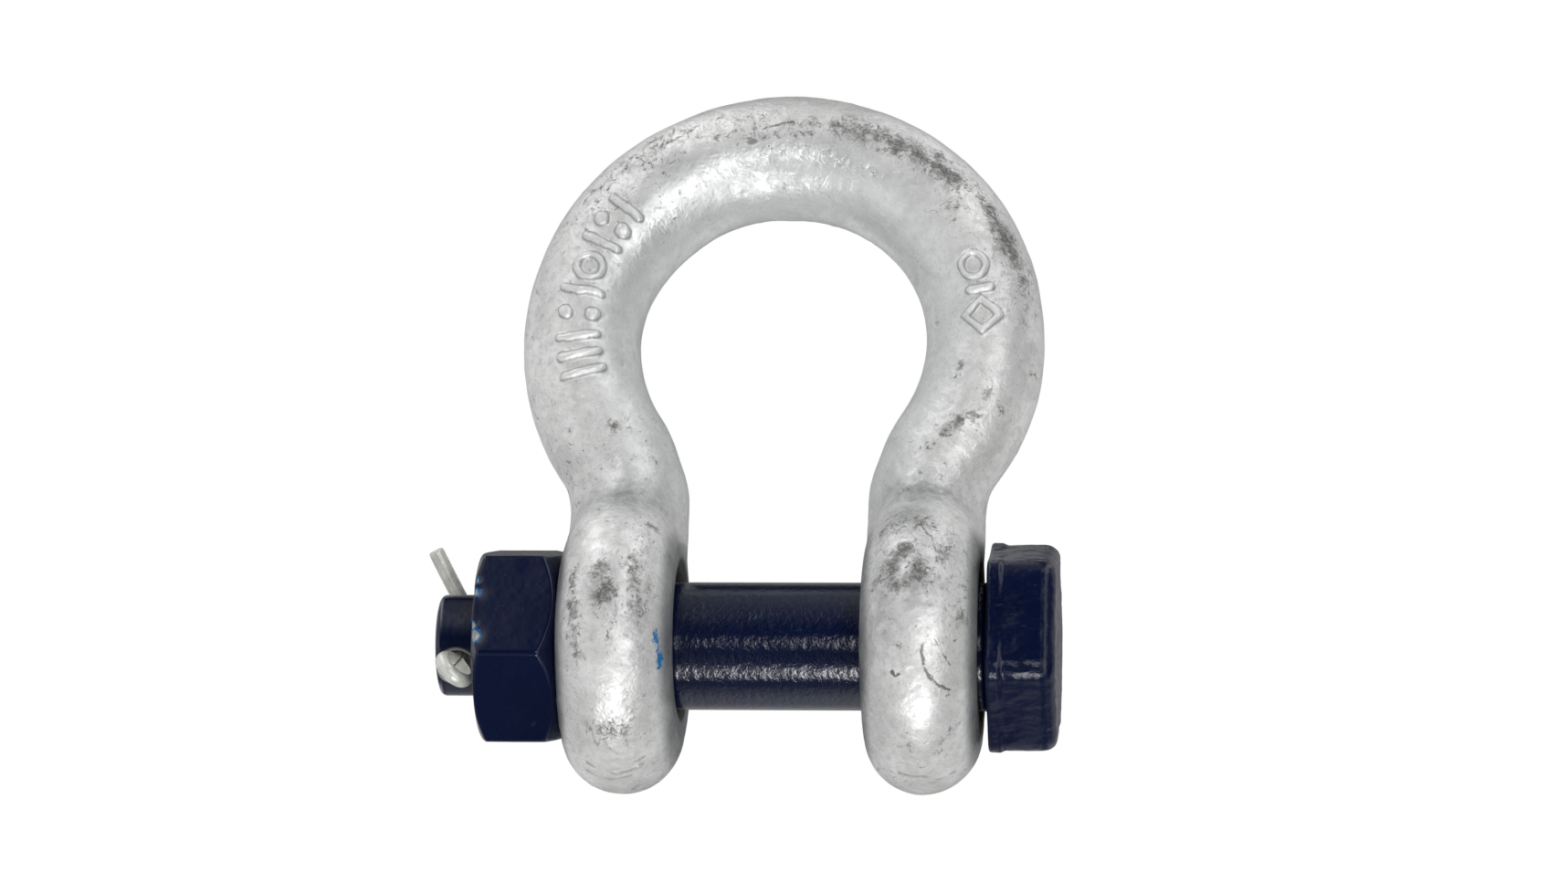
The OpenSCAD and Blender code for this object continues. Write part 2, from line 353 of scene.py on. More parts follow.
# where zinc dross gathered: points of a line on the surface, half-width, amount
DROSS = [
    # crown and shoulders
    ([(-4, -11, 93.1), (1.6, -10.9, 94.6), (9.8, -10.6, 93.8)], 1.4, 0.38),
    ([(9.8, -10.6, 93.8), (16.4, -10.2, 92.1), (22.9, -9.9, 88.9), (27.8, -9.4, 86),
      (30.3, -9.4, 83.4)], 2.7, 1.0),
    ([(35.4, -8.2, 80.2), (38.0, -8.0, 76.0), (39.7, -7.6, 72.9), (41.0, -7.6, 69.6)], 2.4, 1.0),
    ([(41.0, -7.6, 69.6), (42.6, -6.9, 64), (43, -6.6, 58)], 2.2, 0.45),
    ([(33.5, -7.8, 83.2), (31.2, -9.8, 80.6), (29.7, -10.5, 76.8)], 1.8, 0.65),
    ([(-24, -7.5, 91.0), (-12, -9.6, 95.4), (-4, -10.5, 95)], 2.2, 0.42),
    ([(-12, -10.8, 91.6), (-3, -11, 91.6), (6, -11, 92)], 1.0, 0.45),
    ([(-33.5, -7.5, 81.5), (-27.5, -8.4, 88.5), (-20, -9.3, 91.5)], 1.9, 0.5),
    # legs
    ([(32.3, -9.9, 48.8), (31.4, -9.9, 45.9)], 0.9, 0.85),
    ([(36.7, -9.8, 43.1)], 1.6, 0.9), ([(39.1, -8.3, 41.1)], 1.4, 0.85),
    ([(34.4, -10, 39.1), (32, -10.2, 38.2), (28.9, -10.3, 35.1)], 1.5, 0.95),
    ([(25.8, -9.9, 33.2)], 1.7, 0.75), ([(-28.4, -10.2, 37.4)], 1.2, 1.0),
    ([(-21.4, -4.5, 39.5)], 1.8, 0.5), ([(-36, -8.5, 40)], 2.0, 0.35),
    # left ear
    ([(-28, -24.8, 5.8), (-26.7, -25.5, 2.6), (-27.3, -25.6, 0.2)], 2.2, 1.1),
    ([(-32.5, -22.5, 6.1), (-32.4, -23.4, 1.7), (-31.8, -23, -4), (-31.5, -22.3, -9)], 1.6, 0.85),
    ([(-22.7, -23.7, 8.2), (-21.4, -24.2, 3.2), (-22.0, -24.4, -1)], 2.2, 0.75),
    ([(-24.7, -25.4, 2.7), (-25.9, -24.7, -6.9)], 0.8, 0.7),
    ([(-31, -17, 14.5), (-25, -16.5, 16.5), (-20.5, -16.5, 15.5)], 2.2, 0.8),
    ([(-28.8, -15.3, -20.2), (-24, -15.5, -20.2)], 2.0, 0.75), ([(-21.5, -12.5, -20.9)], 1.8, 0.6),
    ([(-33, -17, -12), (-31.5, -14, -17)], 1.8, 0.5), ([(-20, -18, -15)], 1.6, 0.55),
    # right ear
    ([(26.5, -25.1, 5.4)], 2.5, 1.1), ([(19.8, -22.5, 4.2)], 1.4, 1.0),
    ([(22.7, -24.9, 3.0), (21.8, -23.8, 6.6), (24, -23.4, 10)], 2.0, 0.9),
    ([(33, -22.6, -2)], 1.8, 0.65), ([(21, -18, 14), (28, -18.5, 16)], 2.4, 0.7),
    ([(25, -12, -22)], 2.5, 0.45), ([(32, -14, -19)], 1.6, 0.6),
    ([(30.5, -23, 8), (31, -22, 11)], 1.4, 0.6), ([(22, -24.5, -3.5)], 1.6, 0.5),
]

# folds left by the forging: points of a line on the surface, half-width, amount
FOLDS = [
    ([(-30.5, -7.5, -23.6), (-25.7, -6.3, -24.9), (-21.0, -7.0, -23.5)], 0.30, 1.0),
    ([(-31, -5.0, -24.0), (-27, -4.2, -25.3), (-23.5, -5.0, -24.8)], 0.26, 0.8),
    ([(-24, -8.6, -23.6), (-20.6, -8.4, -22.6)], 0.24, 0.6),
    ([(22.9, -5.8, -24.5), (26.8, -5.6, -25.0), (32.1, -2.8, -23.5)], 0.28, 0.9),
    ([(24, -3.6, -25.2), (29, -2.4, -25.2)], 0.24, 0.5),
    ([(-29, -14.8, -20.4), (-28.2, -12.8, -22.0), (-27.0, -14.6, -20.8),
      (-26.2, -12.4, -22.4)], 0.26, 0.5),
    ([(-23.6, -15.4, -20.0), (-23.2, -11.4, -22.8)], 0.24, 0.45),
    ([(-22.4, -17.6, -17.6), (-21.0, -17.8, -17.0)], 0.22, 0.6),
    ([(-22.6, -16.6, -18.7), (-21.0, -16.7, -18.0)], 0.22, 0.6),
    ([(24.6, -25.3, -0.2), (28.6, -25.0, -0.9)], 0.42, 0.55),
    ([(24.8, -25.2, -1.9), (28.2, -24.9, -2.4)], 0.3, 0.4),
    ([(-25.4, -25.3, 2.0), (-24.4, -25.3, -1.5), (-25.2, -24.9, -5.5)], 0.35, 0.5),
]

# a painted highlight along the inside of the crown, on zinc there that is also smoother and more
# metallic
HIGHLIGHT_LINE = [
    (-25.5, -8.9, 73.0), (-20.8, -9.1, 79), (-16.0, -9.7, 83.5), (-11.2, -10.1, 86.5),
    (-5.5, -10.3, 88.1), (-0.2, -10.5, 88.6), (5.1, -10.4, 88.3), (10.8, -10.1, 86.7),
    (15.7, -9.8, 84.0), (19.0, -9.4, 80.8),
]

# painted shade: soft grey darkening in the valleys where the ears meet the legs and on darker
# patches of the ears, legs, shoulders and crown: centre, sizes, amount
PAINTED_SHADE = [
    ((-26, -12, 22.6), (8.5, 6, 4.2), 1.0), ((27, -11, 24.2), (8.5, 6, 3.8), 1.0),
    ((24, -17, 17.5), (4.2, 6, 5.5), 0.7), ((26.0, -25, 4.5), (5.0, 3, 5.0), 0.7),
    ((-27.3, -25, 3.2), (3.0, 3, 4.6), 0.75), ((16, -10, 91.6), (10, 4, 3.4), 0.55),
    ((27, -9.4, 86), (6, 4, 5), 0.6), ((-21, -10.5, 86.5), (9, 3, 2.6), 0.45),
    ((-21.5, -23, -1), (2.6, 4, 8), 0.45), ((39.6, -8, 73.5), (3.2, 4, 8), 0.6),
    ((42, -6, 60), (3.0, 5, 14), 0.45), ((21.5, -23.5, 0), (3.0, 4, 9), 0.75),
    ((-34, -17, 8), (3, 6, 9), 0.35), ((31, -22, 9), (4, 4, 6), 0.45),
    ((-42, -5, 62), (2.5, 5, 12), 0.25),
]

# plain raised marks on the bow's front: degrees round the crown, shape
MARKS = [
    (195, "bar"), (189.5, "bar"), (184, "bar"), (177, "dots"), (170, "bar"), (162.5, "ring"),
    (154.5, "bar"), (148.5, "dots"), (142, "bar"), (17.5, "ring"), (10.2, "short"),
    (2.2, "diamond"),
]
BAR_MARK_HALF = {"bar": 3.1, "short": 1.7}


def mark_distance(along, across, kind):
    """Distance from a mark's stroke; along and across are measured from its middle."""
    if kind in BAR_MARK_HALF:
        return np.hypot(along, np.maximum(np.abs(across) - BAR_MARK_HALF[kind], 0))
    if kind == "ring":
        return np.abs(np.hypot(along, across) - 2.2) * 1.3
    if kind == "dots":
        return np.maximum(np.hypot(along, np.abs(across) - 2.3) - 0.5, 0)
    return np.abs((np.abs(along) + np.abs(across)) * 0.7071 - 2.1) * 1.3       # diamond


def refine_marks(mesh):
    """Splits the faces under the raised marks in four."""
    bm = bmesh.new()
    bm.from_mesh(mesh)
    centres = np.array([face.calc_center_median()[:] for face in bm.faces])
    angle, across = crown_polar(centres)
    near = np.zeros(len(centres), bool)
    for mark_angle, _ in MARKS:
        near |= np.abs(angle - mark_angle) < 4.6
    near &= (centres[:, 1] < -5) & (np.abs(across) < 5.2)
    edges = set()
    for face, marked in zip(bm.faces, near):
        if marked:
            edges.update(face.edges)
    bmesh.ops.subdivide_edges(bm, edges=list(edges), cuts=1, use_grid_fill=True)
    bmesh.ops.triangulate(bm, faces=[face for face in bm.faces if len(face.verts) > 4])
    bm.to_mesh(mesh)
    bm.free()


def zinc_relief(points, normals, free):
    """Height of the frozen zinc, how heavy its dross is, and its lumps and pits as a mask."""
    x, y, z = points.T
    zone = smooth(-0.15, 0.45, fbm(points, 17, 61, 3))
    # the hidden side carries its share of dross too
    behind = smooth(0.0, 0.4, normals[:, 1])
    behind = behind * smooth(0.25, 0.75, fbm(points, 19, 63, 2) + 0.35)
    heavy = np.clip(np.maximum(traced(points, DROSS), 0.55 * behind), 0, 1)
    # soft swellings, then large and small hard lumps
    runs = fbm(points * np.array([1, 1, 0.55]), 5.0, 41, 3)
    height = 0.085 * runs + 0.030 * fbm(points, 1.8, 43, 2)
    distance, value = cells(points, 3.1, 51, 0.33)
    lump = smooth(0.42, 0.10, distance) * (0.4 + 0.6 * value)
    height += 0.10 * lump * np.clip(0.25 + 0.9 * heavy + 0.5 * zone, 0, 1.2)
    distance, value = cells(points + 5.0, 1.55, 57, 0.4)
    small = smooth(0.45, 0.1, distance) * value
    height += 0.055 * small * np.clip(0.15 + 1.1 * heavy + 0.5 * zone, 0, 1.2)
    # small pits, and one deeper dimple on the front of the crown
    distance, value = cells(points + 9.0, 4.3, 71, 0.22)
    pit = smooth(0.22, 0.05, distance) * value
    height -= 0.14 * pit
    dimple = bell((x + 5.9) / 1.25, (z - 90.9) / 0.75) * smooth(0.25, 0.7, -normals[:, 1])
    blemish = np.clip(0.6 * lump * (0.1 + heavy) + 0.7 * pit + 1.2 * dimple, 0, 1)
    return height * free - 0.40 * dimple, heavy, blemish


def flash_relief(points, normals, across):
    """Trimmed flash line in the plane of the bow, round its outer edge."""
    outward = np.abs(normals[:, 0]) + np.maximum(normals[:, 2], 0)
    outer = smooth(0.3, 0.8, outward) * (points[:, 2] > 26) * (across > 2)
    line = bell((points[:, 1] + 0.5 * fbm(points, 12, 91, 2)) / 0.9) * outer
    return 0.10 * line * (0.5 + 0.5 * fbm(points, 6, 92, 2))


def raised_marks(points, normals, angle, across):
    """1 on the marks' strokes, 0 beside them."""
    warp_along = 0.42 * fbm(points, 2.6, 101, 3)
    warp_across = 0.42 * fbm(points, 2.6, 102, 3)
    mark = np.zeros(len(points))
    for mark_angle, kind in MARKS:
        along = rad(1) * (angle - mark_angle) * CROWN_R + warp_along
        side = across + warp_across + (0.4 if mark_angle > 90 else 0.1)
        stroke = smooth(1.25, 0.10, mark_distance(along, side, kind))
        stroke[(np.abs(along) > 6) | (np.abs(side) > 7)] = 0
        mark = np.maximum(mark, stroke)
    return mark * smooth(0.3, 0.55, -normals[:, 1])


def build_bow():
    mesh = voxel_copy("bow", 0.36)
    refine_marks(mesh)
    points, normals = project(bow_distance, coords(mesh), steps=6)
    x, y, z = points.T
    angle, across = crown_polar(points)
    eye = np.hypot(y, z - EYE_Z)
    sideways = np.abs(normals[:, 0])
    # the ears' bearing faces and the eye holes stay true; free is 1 everywhere else
    flat = smooth(0.80, 0.97, sideways) * (eye < 17) * (z < 20)
    inside = (eye < EYE_R + 0.3) & (np.abs(x) > JAW / 2 - 1) & (z < 20)
    free = np.clip(1 - flat - inside, 0, 1)

    height = 0.20 * fbm(points, 22, 21, 2) + 0.10 * fbm(points, 9, 22, 2)
    height *= 0.25 + 0.75 * free
    zinc, heavy, blemish = zinc_relief(points, normals, free)
    height += zinc
    fold = traced(points + 0.35 * fbm3(points, 3, 81, 2), FOLDS)
    height += 0.30 * fold
    height += flash_relief(points, normals, across)
    mark = raised_marks(points, normals, angle, across)
    height += 0.85 * mark * (1 + 0.35 * fbm(points, 3, 105, 2))
    # a burr at the inner mouth of each eye hole
    burr = spot(points, (16.6, -17.1, -6.3), (0.8, 1.4, 1.7))
    burr += 1.3 * spot(points, (-16.6, -12.0, -14.8), (1.0, 3.0, 1.7))
    height += 0.32 * burr
    height = np.where(inside, np.minimum(height, 0.0) * 0.3, height)
    # nothing grows into the faces that the nut and the head bear on
    height = np.where(flat > 0.5, np.minimum(height, 0.02), height)
    # the forging is uneven over long distances
    sway = fbm3(points, 30, 11, 2) * 0.22 * free[:, None]
    mesh.name = "bow_forging"
    set_coords(mesh, (points + normals * height[:, None] + sway) * MM)

    ear = smooth(24.5, 21.0, np.hypot(y, z)) * smooth(20, 14, z)
    # painted highlight along the line inside the crown, where the zinc is also smoother
    clean = bell(line_distance(points, HIGHLIGHT_LINE) / 3.2) * (0.72 + 0.28 * fbm(points, 5, 85, 3))
    # side facing the crown's centre: fewer flecks there, and a painted shade of bluish grey
    rise = z - CROWN_Z
    facing_in = -(normals[:, 0] * x + normals[:, 2] * rise) / np.maximum(np.hypot(x, rise), 1)
    float_attributes(
        mesh, mark=mark, lump=blemish, heavy=heavy,
        # painted shade at the listed spots
        shade=reduce(np.maximum, (amount * spot(points, centre, size)
                                  for centre, size, amount in PAINTED_SHADE)),
        fold=np.clip(fold, 0, 1),
        # painted shade on the ears' side faces
        flank=smooth(0.76, 0.97, sideways) * ear * (0.8 + 0.2 * fbm(points, 6, 84, 2)),
        worn=np.clip(flat + inside, 0, 1),
        # painted shadow round the mouth of each eye hole
        bore=smooth(EYE_R + 2.7, EYE_R + 1.3, eye) * (z < 20),
        clean=np.clip(clean, 0, 1),
        inner=smooth(-0.1, 0.7, facing_in) * smooth(15, 30, z))
    return add_piece("bow_forging", mesh, "bow")


# ------------------------------------------------------------------ turned pieces
def hex_radius(theta, flats, corner):
    """Radius of a hexagon with corners rounded to radius corner, a flat facing theta 0."""
    angle = (theta + math.pi / 6) % (math.pi / 3) - math.pi / 6
    inset = flats / 2 - corner
    half_side = inset * math.tan(math.pi / 6)
    centre = np.stack([np.full_like(angle, inset), np.sign(angle) * half_side], -1)
    ray = np.stack([np.cos(angle), np.sin(angle)], -1)
    reach = (centre * ray).sum(-1)
    rounded = reach + np.sqrt(np.maximum(reach ** 2 - (centre * centre).sum(-1) + corner ** 2, 0))
    flat = flats / 2 / np.cos(angle)
    return np.where(np.abs(flats / 2 * np.tan(angle)) <= half_side, flat, rounded)


def lathe(rows, theta, closed):
    """Vertices and faces of a skin round the X axis.

    Each row is (x, radius), one number or one per angle. A closed skin joins its last row to
    its first; an open one is capped at both ends.
    """
    x, radius = (np.array([np.broadcast_to(row[k], theta.shape) for row in rows]) for k in (0, 1))
    count, around = x.shape
    points = np.stack([x, radius * np.cos(theta), radius * np.sin(theta)], -1).reshape(-1, 3)
    j = np.arange(around)
    k = (j + 1) % around
    faces = []
    for i in range(count if closed else count - 1):
        this, after = i * around, ((i + 1) % count) * around
        faces.append(np.stack([this + j, this + k, after + k, after + j], 1))
    faces = np.concatenate(faces).tolist()
    if not closed:
        points = np.vstack([points, [[x[0].mean(), 0, 0], [x[-1].mean(), 0, 0]]])
        first, last = count * around, count * around + 1
        base = (count - 1) * around
        faces += [[first, int(b), int(a)] for a, b in zip(j, k)]
        faces += [[last, int(base + a), int(base + b)] for a, b in zip(j, k)]
    return points, faces


def resample(points, step):
    """Points along a polyline, no further apart than step."""
    out = [points[0]]
    for start, end in zip(points[:-1], points[1:]):
        start, end = np.array(start, float), np.array(end, float)
        count = max(1, int(np.ceil(np.linalg.norm(end - start) / step)))
        out += [tuple(start + (end - start) * i / count) for i in range(1, count + 1)]
    return out


def arc_points(x, height, radius, start, end, count):
    """Points of an arc between two angles in degrees."""
    angles = [rad(start + (end - start) * i / count) for i in range(count + 1)]
    return [(x + radius * math.cos(a), height + radius * math.sin(a)) for a in angles]


def cut_hole(ob, centre, direction, profile, segments):
    """Cuts a flared round hole; profile is (distance along direction, radius)."""
    turn = Vector(direction).normalized().to_track_quat("Z", "Y").to_matrix().to_4x4()
    bm = bmesh.new()
    rings = [[bm.verts.new((radius * math.cos(2 * math.pi * i / segments),
                            radius * math.sin(2 * math.pi * i / segments), z))
              for i in range(segments)] for z, radius in profile]
    for low, high in zip(rings[:-1], rings[1:]):
        for i in range(segments):
            j = (i + 1) % segments
            bm.faces.new((low[i], low[j], high[j], high[i]))
    bm.faces.new(list(reversed(rings[0])))
    bm.faces.new(rings[-1])
    bmesh.ops.recalc_face_normals(bm, faces=bm.faces)
    mesh = bpy.data.meshes.new("cutter")
    bm.to_mesh(mesh)
    bm.free()
    mesh.transform(Matrix.Translation(centre) @ turn)
    mesh.transform(Matrix.Scale(MM, 4))
    shade_smooth(mesh)
    cutter = link_object("cutter", mesh)
    hole = ob.modifiers.new("hole", "BOOLEAN")
    hole.operation = "DIFFERENCE"
    hole.solver = "EXACT"
    hole.object = cutter
    out = evaluated_mesh(ob)
    ob.modifiers.clear()
    old = ob.data
    ob.data = out
    bpy.data.meshes.remove(old)
    bpy.data.objects.remove(cutter)


FILLET_R = 1.05             # between shank and head


def shank_profile():
    """(x, radius) from the plain end to the fillet under the head."""
    tail_top = TAIL_R + 0.45
    points = [(END_X + 0.05, 0.35), (END_X, 3.0), (END_X, 7.5)]
    points += arc_points(END_X + 1.0, 7.75, 1.05, 180, 90, 8)
    points += [(TAIL_X - 0.35, TAIL_R), (TAIL_X, tail_top)]
    # the rings sit at the same stations as the nut's; a cone trims the first ones
    root = SHANK_R - THREAD_DEPTH
    ring = ((PITCH * 7 / 8, SHANK_R), (PITCH * 5 / 8, root), (PITCH * 3 / 8, root),
            (PITCH / 8, SHANK_R))
    thread = [(NUT_X - (THREAD_FIRST + i * PITCH + k), radius)
              for i in range(THREAD_COUNT - 1, -2, -1) for k, radius in ring]
    points += [(x, min(radius, tail_top + (x - TAIL_X) * 1.85))
               for x, radius in resample(thread, 0.35)]
    points += [(HEAD_X - FILLET_R, SHANK_R)]
    points += arc_points(HEAD_X - FILLET_R, SHANK_R + FILLET_R, FILLET_R, -90, 0, 6)[1:]
    return resample(points, 0.35)


def head_rows(theta):
    """Rows of the head: underside, forged lip, sides, rounded outer edge and end face."""
    lip_r, edge_r = 0.7, 2.6
    step = 0.16
    top = HEAD_X + HEAD_THICK
    side = hex_radius(theta - HEAD_TURN - math.pi / 6, HEAD_FLATS, 4.2)
    corner = np.clip((side - HEAD_FLATS / 2) / (side.max() - HEAD_FLATS / 2), 0, 1)
    lip = side + 0.10 + 0.42 * corner
    start = SHANK_R + FILLET_R
    rows = [(HEAD_X, start + (lip - lip_r - start) * k)
            for k in np.linspace(0.06, 1, 16)]
    for a in np.linspace(15, 90, 5):
        rows.append((HEAD_X + lip_r - lip_r * math.cos(rad(a)),
                     lip - lip_r + lip_r * math.sin(rad(a))))
    for x in np.arange(HEAD_X + lip_r + step, top - edge_r, step):
        k = smooth(1.9, 3.1, x - HEAD_X)
        belly = 0.16 * math.sin(math.pi * min(1, (x - HEAD_X) / HEAD_THICK))
        rows.append((x, lip * (1 - k) + (side + belly) * k))
    for a in np.linspace(4, 86, 20):
        rows.append((top - edge_r + (edge_r - 0.15) * math.sin(rad(a)),
                     side + 0.06 - edge_r * 0.85 * (1 - math.cos(rad(a)))))
    rim = rows[-1][1]
    for k in np.linspace(0.97, 0.02, 64):
        # a shallow punched ring on the end face
        radius = rim * k
        dish = -0.28 * bell((radius - 7.2) / 0.8)
        rows.append((top - 0.13 + 0.12 * (1 - k) + dish, radius))
    return rows


def roughen_bolt(mesh):
    """Rough forged skin on the head, under the paint, and a faint one on the tail."""
    points = coords(mesh) / MM
    normals = vertex_normals(mesh)
    x = points[:, 0]
    rough = 0.11 * fbm(points, 4.0, 201, 3)
    rough += 0.055 * fbm(points * np.array([0.45, 1, 1]), 1.1, 202, 3)
    distance, value = cells(points, 2.6, 205, 0.3)
    rough -= 0.07 * smooth(0.36, 0.08, distance) * value
    rough += 0.05 * fbm(points * np.array([0.3, 1, 1]), 1.9, 206, 3)
    rough += 0.09 * bell(x - HEAD_X - 1.1) * fbm(points, 1.9, 207, 3)
    rough += 0.10 * fbm(points, 12, 208, 2)
    on_head = smooth(HEAD_X - 0.2, HEAD_X + 0.3, x)
    limit = np.where(x > HEAD_X + 0.35, 1.0, 0.35)
    points = points + normals * (rough * on_head * limit)[:, None]
    tail = smooth(TAIL_X + 0.3, TAIL_X - 0.2, points[:, 0])
    points = points + normals * (0.012 * fbm(points, 2.0, 211, 2) * tail)[:, None]
    set_coords(mesh, points * MM)


def build_bolt():
    theta = np.linspace(0, 2 * math.pi, 720, endpoint=False)
    points, faces = lathe(shank_profile() + head_rows(theta), theta, closed=False)
    ob = add_piece("bolt_body", make_mesh("bolt_body", points, faces), "bolt")
    roughen_bolt(ob.data)
    axis = (0, -math.cos(rad(CROSS_TILT)), -math.sin(rad(CROSS_TILT)))
    mouth = [(-TAIL_R - 3, CROSS_R + 3.6), (-TAIL_R + 0.1, CROSS_R + 0.5),
             (-TAIL_R + 0.45, CROSS_R + 0.16), (-TAIL_R + 0.9, CROSS_R)]
    profile = mouth + [(-z, radius) for z, radius in reversed(mouth)]
    cut_hole(ob, Vector((CROSS_X, 0, 0)), axis, resample(profile, 0.8), 120)
    points = coords(ob.data) / MM
    axis = np.array(axis)
    offset = points - np.array([CROSS_X, 0, 0])
    from_axis = np.linalg.norm(offset - np.outer(offset @ axis, axis), axis=1)
    float_attributes(
        ob.data,
        head=smooth(HEAD_X - 0.3, HEAD_X + 0.2, points[:, 0]),
        hole=smooth(CROSS_R + 0.75, CROSS_R + 0.3, from_axis) * (np.abs(offset[:, 0]) < 4))
    return ob


# knocks in the nut's skin: distance from its inner face, degrees from -Y, radius, size
NUT_CHIPS = [
    (14.0, -16, 17.0, 1.3), (13.8, 12.0, 17.3, 1.5), (14.3, 6, 16.6, 1.0),
    (14.2, -24, 17.2, 0.9), (13.8, 150, 17.0, 1.2), (1.0, 205, 17.2, 1.0),
]


def chip_mask(points):
    chip = np.zeros(len(points))
    for depth, degrees, radius, size in NUT_CHIPS:
        angle = rad(180 + degrees)
        centre = np.array((NUT_X - depth, radius * math.cos(angle), radius * math.sin(angle)))
        offset = (points - centre) / size
        chip = np.maximum(chip, np.exp(-(offset ** 2).sum(1) * 1.2))
    return chip


def nut_rows(theta):
    """Closed rows of the nut: inner face, chamfered outside, outer face, threaded bore."""
    side = hex_radius(theta - NUT_TURN - math.pi / 6, NUT_FLATS, 1.1)
    root = SHANK_R + THREAD_GAP
    crest = root - THREAD_DEPTH
    step = 0.14

    def outer(depth):
        """Radius at a depth from the inner face, trimmed by a chamfer cone at each end."""
        radius = smooth_min(side, NUT_FLATS / 2 - 0.35 + depth * 1.12, 0.6)
        return smooth_min(radius, NUT_FLATS / 2 + (NUT_THICK - depth) * 1.72, 0.6)

    face = outer(0.0)
    rows = [(NUT_X, (root + 0.35) * (1 - k) + (face - 0.25) * k)
            for k in np.linspace(0, 1, 10)[:-1]]
    rows += [(NUT_X, face - 0.22), (NUT_X - 0.05, outer(0.05) - 0.06)]
    rows += [(NUT_X - u, outer(u)) for u in np.arange(0.0, NUT_THICK + 1e-6, step)[1:-1]]
    rows.append((NUT_X - NUT_THICK + 0.05, outer(NUT_THICK - 0.05) - 0.06))
    face = outer(NUT_THICK)
    rows += [(NUT_X - NUT_THICK, (root + 0.45) * (1 - k) + (face - 0.25) * k)
             for k in np.linspace(1, 0, 16)]
    thread = []
    flat = PITCH / 8
    for i in range(THREAD_COUNT):
        start = THREAD_FIRST + i * PITCH
        thread += [(start + flat, root), (start + PITCH / 2 - flat, crest),
                   (start + PITCH / 2 + flat, crest), (start + PITCH - flat, root)]
    thread = [(u, radius) for u, radius in thread if 0.35 < u < NUT_THICK - 0.35]
    thread = resample([(0.35, root)] + thread + [(NUT_THICK - 0.3, root)], 0.4)
    return rows + [(NUT_X - u, radius) for u, radius in reversed(thread)]


def build_nut():
    theta = np.linspace(0, 2 * math.pi, 900, endpoint=False)
    points, faces = lathe(nut_rows(theta), theta, closed=True)
    mesh = make_mesh("nut_body", points, [list(reversed(face)) for face in faces])
    ob = add_piece("nut_body", mesh, "nut")
    points = coords(mesh) / MM
    skin = smooth(13.0, 14.5, np.hypot(points[:, 1], points[:, 2])) * (points[:, 0] < NUT_X - 0.2)
    chip = chip_mask(points)
    height = 0.05 * fbm(points, 6, 301, 2) + 0.012 * fbm(points, 1.2, 302, 2) - 0.28 * chip
    set_coords(mesh, (points + vertex_normals(mesh) * (height * skin)[:, None]) * MM)
    float_attributes(mesh, chip=chip)
    return ob


# ------------------------------------------------------------------ split pin
WIRE_R = 1.45
WIRE_GAP = 0.06             # from the middle of the pin to each half's flat side
LEG_BEND_R = 1.9
PIN_BACK = -(TAIL_R + 1.1)  # where the legs bend out, along the pin
LOOP_Z = TAIL_R + 2.8       # centre of the eye loop, along the pin
LOOP_R = 3.75 - 1.4         # radius of the flat inner side of the loop
LOOP_START = 236            # degrees, where the wire joins the loop
STRAIGHT_END = LOOP_Z - 2.9
PIN_AXIS = np.array([0, 0, 1])


def across_pin(degrees):
    return np.array([math.cos(rad(degrees)), math.sin(rad(degrees)), 0])


def unit(vector):
    return vector / np.linalg.norm(vector)


# The wire's path is a list of (point, direction of the round side) in the pin's own frame:
# x and y across it, z along it towards the loop.
def pin_leg(outward, bend_degrees, run):
    """From the tip of a leg to the place where it is straight again."""
    step = 0.35
    bend = rad(bend_degrees)
    centre = PIN_AXIS * PIN_BACK + outward * LEG_BEND_R

    def facing(angle):
        return outward * math.cos(angle) + PIN_AXIS * math.sin(angle)

    end = centre - LEG_BEND_R * facing(bend)
    forward = outward * math.sin(bend) - PIN_AXIS * math.cos(bend)
    path = []
    for i in range(int(run / step), 0, -1):
        # the free end is a little bowed
        s = i * step
        path.append((end + forward * s - facing(bend) * (0.006 * s * s), facing(bend)))
    for i in range(16, 0, -1):
        angle = bend * i / 16
        path.append((centre - LEG_BEND_R * facing(angle), facing(angle)))
    return path


def pin_straight(leg_side, loop_side):
    """From a leg's bend towards the loop, twisting from one side to the other."""
    path = []
    for i in range(61):
        k = i / 60
        twist = min(1, k * 3)
        path.append((PIN_AXIS * (PIN_BACK + (STRAIGHT_END - PIN_BACK) * k),
                     unit(leg_side * (1 - twist) + loop_side * twist)))
    return path


def pin_blend(start, end):
    """Rows strictly between two rows of the path."""
    path = []
    for i in range(1, 6):
        k = smooth(0, 1, i / 6)
        path.append((start[0] * (1 - k) + end[0] * k, unit(start[1] * (1 - k) + end[1] * k)))
    return path


def pin_path():
    side = across_pin(-43)
    loop = []
    for i in range(73):
        angle = rad(LOOP_START - (2 * LOOP_START - 180) * i / 72)
        facing = side * math.cos(angle) + PIN_AXIS * math.sin(angle)
        loop.append((PIN_AXIS * LOOP_Z + LOOP_R * facing, facing))
    long_side, short_side = across_pin(117), across_pin(-84)
    first = pin_straight(long_side, -side)
    second = pin_straight(short_side, side)
    path = pin_leg(long_side, 84, 12.8) + first + pin_blend(first[-1], loop[0]) + loop
    path += pin_blend(loop[-1], second[-1]) + second[::-1]
    path += pin_leg(short_side, 66, 7.2)[::-1]
    points, outward = (np.array(column) for column in zip(*path))
    # softened corners
    for _ in range(2):
        for row in (points, outward):
            row[1:-1] = 0.25 * row[:-2] + 0.5 * row[1:-1] + 0.25 * row[2:]
    return points, outward


def wire_section():
    """Half-round section, flat side WIRE_GAP from the path: across, outward."""
    count = 22
    section = []
    for i in range(count + 1):
        angle = math.pi * i / count
        height = (WIRE_R - WIRE_GAP) * math.sin(angle)
        section.append((WIRE_R * math.cos(angle),
                        WIRE_GAP + max(height, 0.10 if i in (0, count) else 0)))
    section += [(WIRE_R * k * 0.97, WIRE_GAP) for k in (-0.9, -0.55, 0, 0.55, 0.9)]
    return np.array(section)


